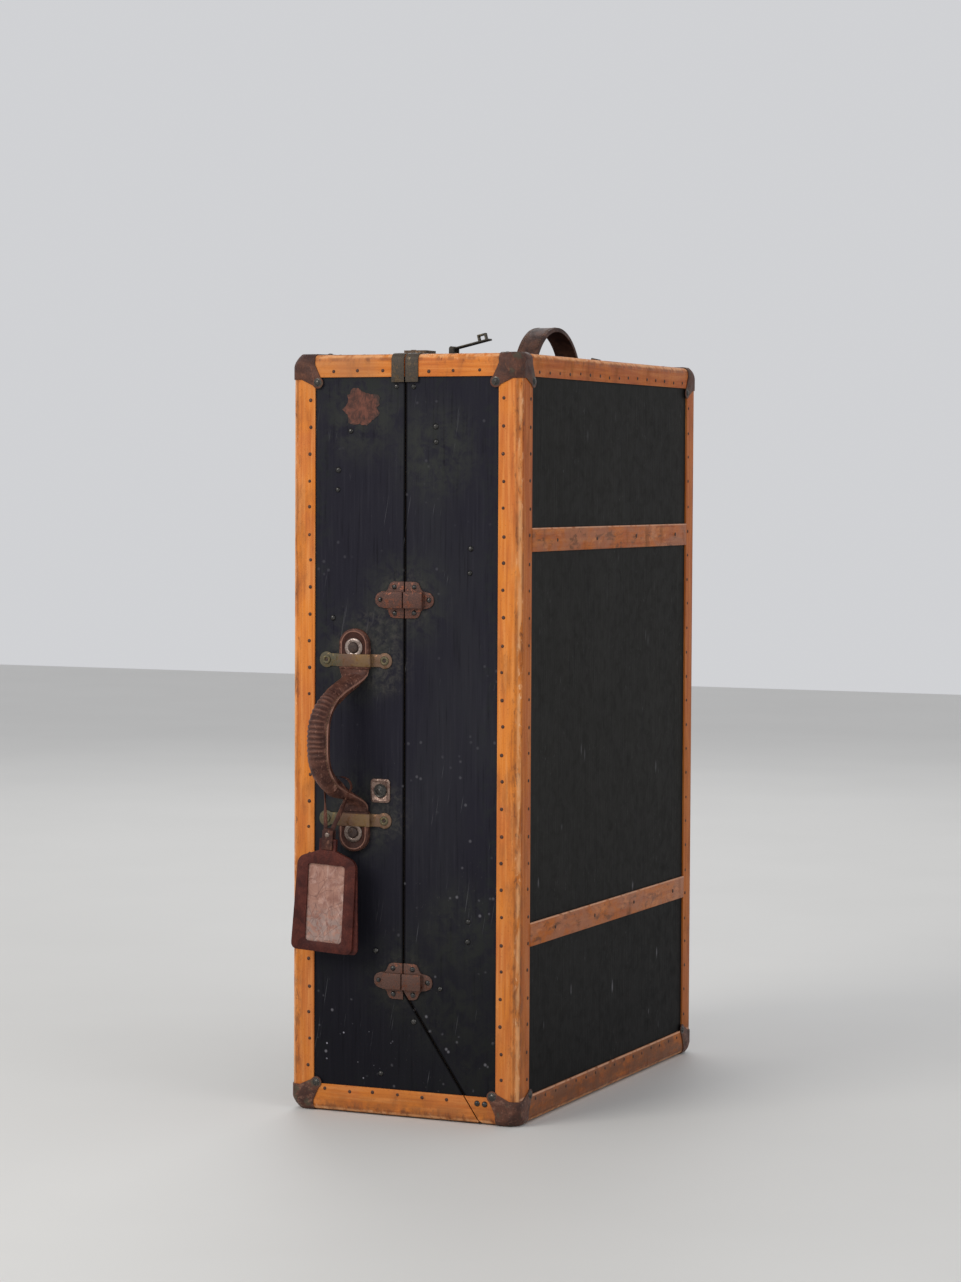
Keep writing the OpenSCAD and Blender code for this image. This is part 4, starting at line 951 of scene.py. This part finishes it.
def grip_wear_and_shading(station, turn):
    """Pale on the rubbed sewn edges; the ridges' backs paler as painted highlight, and the grooves dark with dirt
    and painted shade.
    """
    outer, handled, deep = groove(station, turn)
    sewn_edge = 1 - ease(abs(abs(turn) - math.pi / 2), 0.05, 0.17)
    sewn_edge *= 0.35 + 0.6 * ease(noise.noise(Vector((station[1] * 0.11, turn, 5.0))), -0.3, 0.3)
    # Painted highlight and shade: the ridges' backs are paler and the grooves darker, in the colour as well as in
    # the shape.
    return sewn_edge + 0.35 * (outer * handled - deep) * (1 - sewn_edge) - 0.9 * deep


def grip_corner(station, turn):
    """The skin of the grip: ridges and grooves outside, a flat lining within, a thin seam between them."""
    a, length = station
    outer, handled, deep = groove(station, turn)
    faint = 0.3 * outer * (1 - handled) * (0.5 + noise.noise(Vector((length * 0.5, turn * 0.9, 0))))
    seam = 1.1 if abs(abs(turn) - math.pi / 2) < 0.05 else 0
    lining_dip = -0.7 * ease(abs(turn), math.radians(95), math.radians(120))
    return grip_point(a, turn, seam + lining_dip - 0.85 * deep - faint)


padded = pulled(64, grip_rows, grip_corner, grip_wear_and_shading)
add_piece("padded_grip", padded, grip_finish, "handle", "handle_leather", ["handle_grip"], 50)

# %% [markdown]
# ## The grip's leather ends
# At each end the padding stops and the leather runs on as a flat strap, under the metal bridge. It is wide and
# flat at the metal, and round where it takes hold of the padding. Along this stretch the grip's lean is blended
# in: the row at the metal stays square to the wall, and the row at the padding turns with the grip.

# %% Leather ends
end_low, end_high = 41.5, 66.2
wide_at_metal, wide_at_padding = 14.0, 9.0
thick_at_metal, thick_at_padding = 3.25, 8.9


def end_centre(up):
    """How far out the strap lies at a height from the handle's middle, its bend rounded off."""
    steps = [grip_out * (1 - min((up + d) / grip_half, 1) ** 3) for d in (-4, -2, 0, 2, 4)]
    return sum(steps) / len(steps)


def leather_end(side, fold, thin):
    """side is 1 at the upper bracket and -1 at the lower one, where the strap is thin and folded to the right."""

    def corner(t, turn):
        up = end_high + (end_low - end_high) * t
        out = end_centre(up)
        along = Vector((end_centre(up - 0.5) - out, -0.5)).normalized()
        normal = Vector((-along[1], along[0]))
        wide = wide_at_metal + (wide_at_padding - wide_at_metal) * ease(t, 0.15, 0.95)
        thick = thick_at_metal + (thick_at_padding - thick_at_metal) * ease(t, thin, 1.0)
        squareness = 0.45 + 0.55 * ease(t, 0.0, 0.8)
        sine, cosine = math.sin(turn), math.cos(turn)
        x = wide * math.copysign(abs(sine) ** squareness, sine)
        y = thick * math.copysign(abs(cosine) ** squareness, cosine)
        crease = noise.noise(Vector((x * 0.16, t * 3.0, side * 4.0))) * 0.9
        crease += noise.noise(Vector((x * 0.5, t * 9.0, side * 9.0))) * 0.35
        y += crease * ease(t, 0.05, 0.3) * (1 - ease(t, 0.8, 1.0)) * (1 if cosine > 0 else 0.2)
        x += math.copysign(1.0, sine) if abs(abs(turn) - math.pi / 2) < 0.06 else 0
        x += fold * math.sin(math.pi * ease(t, 0.05, 0.95))
        place = Vector((x, -(out + y * normal[0]), side * (up + y * normal[1])))
        turn_by = Matrix.Rotation(math.radians(lean_degrees * ease(t, 0.0, 0.45)), 4, "Z")
        return handle_middle @ turn_by @ (place * mm)

    def rim(t, turn):
        return 0.6 * (1 - ease(abs(abs(turn) - math.pi / 2), 0.06, 0.2)) * ease(t, 0, 0.2)

    return pulled(64, [i / 30 for i in range(31)], corner, rim)


for name, side, fold, thin in (("upper_leather_end", 1, 0.0, 0.1), ("lower_leather_end", -1, 3.0, 0.5)):
    piece = add_piece(name, leather_end(side, fold, thin), grip_finish, None, "handle_leather", smooth=50)
    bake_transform(piece)

# %% [markdown]
# ## Stitches
# Waxed linen thread shows as short raised stitches along the sewn edges of the grip and the end strap. Each is a
# small long ball, turned to follow its seam. There are many, so each has few faces.

# %% Stitches on the grip
thread_finish = leather("waxed thread", (126, 96, 70), (82, 58, 42), (160, 130, 100), wear=0.5)


def stitch(bm, place, along, outward):
    """A ball, drawn out along the seam and laid on the leather."""
    made = bmesh.ops.create_uvsphere(bm, u_segments=7, v_segments=5, radius=mm)["verts"]
    side = along.cross(outward).normalized()
    turn = Matrix((along.normalized(), side, outward.normalized())).transposed().to_4x4()
    size = Matrix.Diagonal((1.15, 0.42, 0.42, 1))
    bmesh.ops.transform(bm, matrix=Matrix.Translation(place) @ turn @ size, verts=made)


sewn = bmesh.new()
for edge in (-1, 1):
    for a, length in grip_stations(44, 136, 31):
        turn = edge * math.radians(81)
        place, ahead = grip_point(a, turn, 0.1), grip_point(a + 0.02, turn, 0.1)
        stitch(sewn, place, ahead - place, grip_point(a, turn, 1.1) - place)
add_piece("grip_stitches", sewn, thread_finish, "handle", "handle_leather", smooth=60)

# %% Stitches on the end strap
arch_x, arch_z, arch_radius, seam_from_middle = 46, 679.73, 63.27, 8.4
sewn = bmesh.new()
for edge in (-1, 1):
    for i in range(31):
        angle = math.radians(-47 + 94 * i / 30)
        outward = Vector((0, math.sin(angle), math.cos(angle)))
        place = Vector((arch_x + edge * seam_from_middle, 0, arch_z)) * mm + outward * (arch_radius + 0.05) * mm
        stitch(sewn, place, Vector((0, math.cos(angle), -math.sin(angle))), outward)
add_piece("end_strap_stitches", sewn, thread_finish, "lid", "handle_leather", smooth=60)

# %% [markdown]
# ## Leather tabs with their studs
# Each tab is a thick tongue of leather with a raised, rounded rim, which a stud with a pale washer holds to the
# wall. The rim comes from insets of the CAD tab's front face, lifted and lowered by a millimetre. Hollow eyelets
# hold the metal bridges, and a domed button stands on the snap plate. All of these are turned from an outline.

# %% Tabs
washer_finish = metal("pale washers", (176, 162, 154), (134, 118, 110), (92, 72, 64), 0.5, size=0.004,
                      below=(92, 74, 62))
plate_finish = metal("pinkish snap plate", (158, 136, 124), (118, 94, 84), (92, 62, 52), 0.55, size=0.005)
stud_finish = metal("dark studs", (92, 76, 64), (62, 46, 40), (46, 32, 28), 0.85, size=0.004)
olive_finish = metal("olive brass eyelets", (128, 114, 84), (98, 88, 64), (72, 70, 50), 0.7, size=0.004)

bm = clean_copy("handle_tabs")
front = min(v.co.y for v in bm.verts)
face = [f for f in bm.faces if f.normal.y < -0.9 and abs(f.calc_center_median().y - front) < 0.2 * mm]
tone_of = bm.verts.layers.float.new("tone")
for thickness, depth, tone in ((0.0006, 0.0, 0), (0.0009, 0.0009, 0), (0.0010, 0.0, 1), (0.0009, -0.0011, -0.8)):
    bmesh.ops.inset_region(bm, faces=face, thickness=thickness, depth=depth, use_even_offset=True)
    if tone:
        for vert in {v for f in face for v in f.verts}:
            vert[tone_of] = tone
add_piece("rimmed_tabs", bm, grip_finish, "base", "handle_leather", ["handle_tabs"], 60)

# %% Studs, washers and eyelets
stud_outline = [(0, -0.6), (4.9, -0.6), (5.0, 1.4), (4.5, 2.3), (3.3, 2.6), (0, 2.7)]
washer_outline = [(4.7, -0.4), (9.0, -0.4), (9.2, 0.4), (8.6, 1.1), (7.2, 1.4), (5.6, 1.1), (4.7, 0.5)]
eyelet_outline = [(1.5, -0.3), (4.3, -0.3), (4.3, 0.4), (3.8, 1.0), (2.9, 1.3), (2.1, 1.0), (1.5, 0.2)]
pin_outline = [(0, -0.2), (1.7, -0.2), (1.6, 0.2), (0, 0.35)]
studs, washers, eyelets = bmesh.new(), bmesh.new(), bmesh.new()
for place, facing in head_places("tab_studs"):
    turned(studs, stud_outline, place, facing)
    turned(washers, washer_outline, place, facing, 36, ring=True)
for place, facing in head_places("bracket_rivets"):
    turned(eyelets, eyelet_outline, place, facing, ring=True)
    turned(studs, pin_outline, place, facing, 16)
add_piece("tab_stud_heads", studs, stud_finish, "base", "hardware", ["tab_studs"], 50)
add_piece("tab_washers", washers, washer_finish, "base", "hardware", smooth=60)
add_piece("bracket_eyelets", eyelets, olive_finish, "base", "hardware", ["bracket_rivets"], 60)

# %% Snap button
snap_outline = [(0, -0.3), (6.2, -0.3), (6.4, 0.7), (5.6, 1.5), (4.8, 1.2), (4.0, 1.5), (2.4, 2.6), (0, 2.9)]
snap = bmesh.new()
for place, facing in head_places("snap_stud"):
    turned(snap, snap_outline, place, facing)
add_piece("snap_button", snap, rivet_finish, "base", "hardware", ["snap_stud"], 50)

# %% [markdown]
# ## The luggage tag
# The tag is two leaves of red-brown leather, sewn round a card. Cut leather has rounded corners and a skived edge,
# and years of hanging have pulled the leaves apart: the front one flares to the left at its foot, the back one to
# the right. The leaves are the CAD ones with those corners bevelled and those two edges drawn out.

# %% Tag leaves
tag_place = (Matrix.Translation((-0.0675407, -0.24963, 0.252256)) @ Matrix.Rotation(math.radians(3), 4, "Y")
             @ Matrix.Rotation(math.radians(90), 4, "X"))
flare_top, flare_length = -11, 87


def in_tag(vert):
    """A corner's place on the tag, in millimetres: x across, y up and z out of its face."""
    return (tag_place.inverted() @ vert.co) / mm


def tag_leaf(node, flare_left, flare_right):
    """A leaf with its outer and inner corners rounded and its foot drawn out by so many millimetres."""
    bm = clean_copy(node)
    for radius, inner in ((6.0, False), (3.0, True)):
        chosen = []
        for edge in bm.edges:
            one, two = in_tag(edge.verts[0]), in_tag(edge.verts[1])
            if abs(one.z - two.z) < 1 or (one - two).xy.length > 0.01 or one.y > -10:
                continue
            if (abs(one.x) < 24) == inner and len(edge.link_faces) == 2 and edge.calc_face_angle(0) > 0.3:
                chosen.append(edge)
        rounded(bm, chosen, radius * mm, 5)
        print(node, "rounds", len(chosen), "corners by", radius, "mm")
    for vert in bm.verts:
        place = in_tag(vert)
        drop = max(flare_top - place.y, 0) / flare_length
        if abs(place.x) > 23 and drop:
            place.x += drop * (-flare_left if place.x < 0 else flare_right)
            vert.co = tag_place @ (place * mm)
    return worn_edges(bm, 0.00035)


add_piece("tag_front_leaf", tag_leaf("tag_front", 3.0, 0.0), tag_finish, "tag", "tag_leather", ["tag_front"])
add_piece("tag_back_leaf", tag_leaf("tag_back", 0.5, 5.5), tag_finish, "tag", "tag_leather", ["tag_back"])

# %% [markdown]
# ## The tag's thong
# A flat thong goes over the grip, comes down as two runs, is whipped together in a knot, and ends in a tongue
# that passes through the tag's slot. A flat section is pulled along the path. It starts facing the grip and turns
# a quarter on its way down, as a real thong does, so that its wide face looks forward at the knot.

# %% Thong
loop_x, loop_y, loop_top, bend, flat = -57.5407, -249.63, 318.456, 9.674, 4.0
tag_x, knot_z, run_gap = -67.5407, 266.256, 2.75
shoulder = loop_top - bend
low_left, low_right = Vector((tag_x - run_gap, loop_y, knot_z)), Vector((tag_x + run_gap, loop_y, knot_z))
high_left = Vector((loop_x - flat - bend, loop_y, shoulder))
high_right = Vector((loop_x + flat + bend, loop_y, shoulder))


def round_bend(middle_x, first):
    """Ten places on a quarter of a circle, from an angle in degrees clockwise."""
    angles = [math.radians(first - 90 * i / 9) for i in range(10)]
    return [Vector((middle_x + bend * math.cos(a), loop_y, shoulder + bend * math.sin(a))) for a in angles]


thong_path = [low_left.lerp(high_left, i / 13) for i in range(13)]
thong_path += round_bend(loop_x - flat, 180) + round_bend(loop_x + flat, 90)
thong_path += [high_right.lerp(low_right, i / 13) for i in range(1, 14)]


def thong_corner(i, turn):
    """A flat oval section, 4.2 mm wide and 1.5 mm thick, that turns with the thong."""
    along = (thong_path[min(i + 1, len(thong_path) - 1)] - thong_path[max(i - 1, 0)]).normalized()
    level = ease(thong_path[i].z, knot_z + 6, shoulder)
    across = (Vector((1, 0, 0)).lerp(Vector((0, -1 if i < len(thong_path) / 2 else 1, 0)), level)).normalized()
    across = (across - along * across.dot(along)).normalized()
    thick = along.cross(across)
    rough = 1 + 0.12 * noise.noise(Vector((i * 0.5, turn, 7)))
    place = thong_path[i] + across * 2.1 * rough * math.sin(turn) + thick * 0.75 * math.cos(turn)
    return place * mm


loop = pulled(14, range(len(thong_path)), thong_corner)
add_piece("thong", loop, thong_finish, "tag", "tag_leather", ["tag_strap"], 50)

# %% Knot
knot_outline = [(0, -2.6), (4.2, -2.4), (5.4, -1.5), (5.1, -0.5), (5.7, 0.3), (5.2, 1.5), (4.0, 2.3), (0, 2.5)]
knot = bmesh.new()
turned(knot, knot_outline, Vector((0, 0, 0)), (0, 0, 1), 24)
bmesh.ops.scale(knot, vec=(1, 0.58, 1), verts=knot.verts)
bmesh.ops.translate(knot, vec=Vector((tag_x, loop_y, knot_z + 1.4)) * mm, verts=knot.verts)
add_piece("thong_knot", knot, thong_finish, "tag", "tag_leather", smooth=60)

# %% Tongue and rivet
tongue = bmesh.new()
for front in (1, -1):
    made = bmesh.ops.create_cube(tongue, size=mm)["verts"]
    bmesh.ops.scale(tongue, vec=(11, 18.2, 1.5), verts=made)
    bmesh.ops.translate(tongue, vec=Vector((0, 7.2, front * 2.85)) * mm, verts=made)
made = bmesh.ops.create_cube(tongue, size=mm)["verts"]
bmesh.ops.scale(tongue, vec=(11, 3.4, 5), verts=made)
rounded(tongue, tongue.edges[:], 0.6 * mm, 3)
bmesh.ops.transform(tongue, matrix=tag_place, verts=tongue.verts)
add_piece("thong_tongue", tongue, thong_finish, "tag", "tag_leather", smooth=60)

rivet_outline = [(0, -0.4), (2.4, -0.4), (2.5, 0.2), (1.9, 0.9), (0.9, 1.3), (0, 1.4)]
rivet = bmesh.new()
turned(rivet, rivet_outline, tag_place @ (Vector((0, 12, 3.6)) * mm), tag_place.to_3x3() @ Vector((0, 0, 1)), 20)
add_piece("tag_rivet_head", rivet, washer_finish, "tag", "hardware", ["tag_rivet"], 60)

# %% [markdown]
# ## The snap plate and the label's remnant
# The snap plate is a small stamped square with a raised rim. The remnant is all that is left of a paper label: its
# edge is torn, so the outline is cut finer and each corner moved by a smooth random amount.

# %% Snap plate
bm = clean_copy("snap_plate")
upright = [e for e in bm.edges if abs(e.verts[0].co.y - e.verts[1].co.y) > 0.0005]
rounded(bm, upright, 3.2 * mm, 5)
front = min(v.co.y for v in bm.verts)
face = [f for f in bm.faces if abs(f.calc_center_median().y - front) < 0.0001]
for thickness, depth in ((0.0004, 0.0), (0.0005, 0.0006), (0.0013, 0.0), (0.0006, -0.0007)):
    bmesh.ops.inset_region(bm, faces=face, thickness=thickness, depth=depth, use_even_offset=True)
add_piece("rimmed_snap_plate", bm, plate_finish, "base", "hardware", ["snap_plate"], 40)

# %% Remnant
bm = clean_copy("label_patch")
outline = [e for e in bm.edges if abs(e.verts[0].co.y - e.verts[1].co.y) < 0.1 * mm]
bmesh.ops.subdivide_edges(bm, edges=outline, cuts=9)
low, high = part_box("label_patch")
middle = (Vector(low) + Vector(high)) / 2
for vert in bm.verts:
    away = vert.co - middle
    torn = noise.noise(Vector((vert.co.x * 110, 0, vert.co.z * 110))) * 0.26
    torn += noise.noise(Vector((vert.co.x * 330, 3, vert.co.z * 330))) * 0.1
    vert.co.x += away.x * (torn + 0.12) - 0.0008
    vert.co.z += away.z * (torn + 0.01)
add_piece("torn_remnant", bm, patch_finish, "base", "patch", ["label_patch"], 40)

# %% [markdown]
# ## Floor
# A plain pale floor carries the trunk's shadow. It belongs to the studio. It curves up nowhere: the world behind
# it is pale enough to read as a plain wall.

# %% Floor
floor_mesh = bmesh.new()
bmesh.ops.create_grid(floor_mesh, x_segments=1, y_segments=1, size=6)
floor_data = bpy.data.meshes.new("floor")
floor_mesh.to_mesh(floor_data)
floor_mesh.free()
floor = bpy.data.objects.new("floor", floor_data)
studio.collection.objects.link(floor)
floor_paint = Finish("pale floor", Roughness=0.6)
floor_ground = floor_paint.mix(floor_paint.noise(0.4, detail=3), (214, 213, 210), (206, 205, 202))
floor_data.materials.append(floor_paint.done(floor_ground, 0.6))
print("the floor is", round(floor.dimensions.x, 1), "m wide")
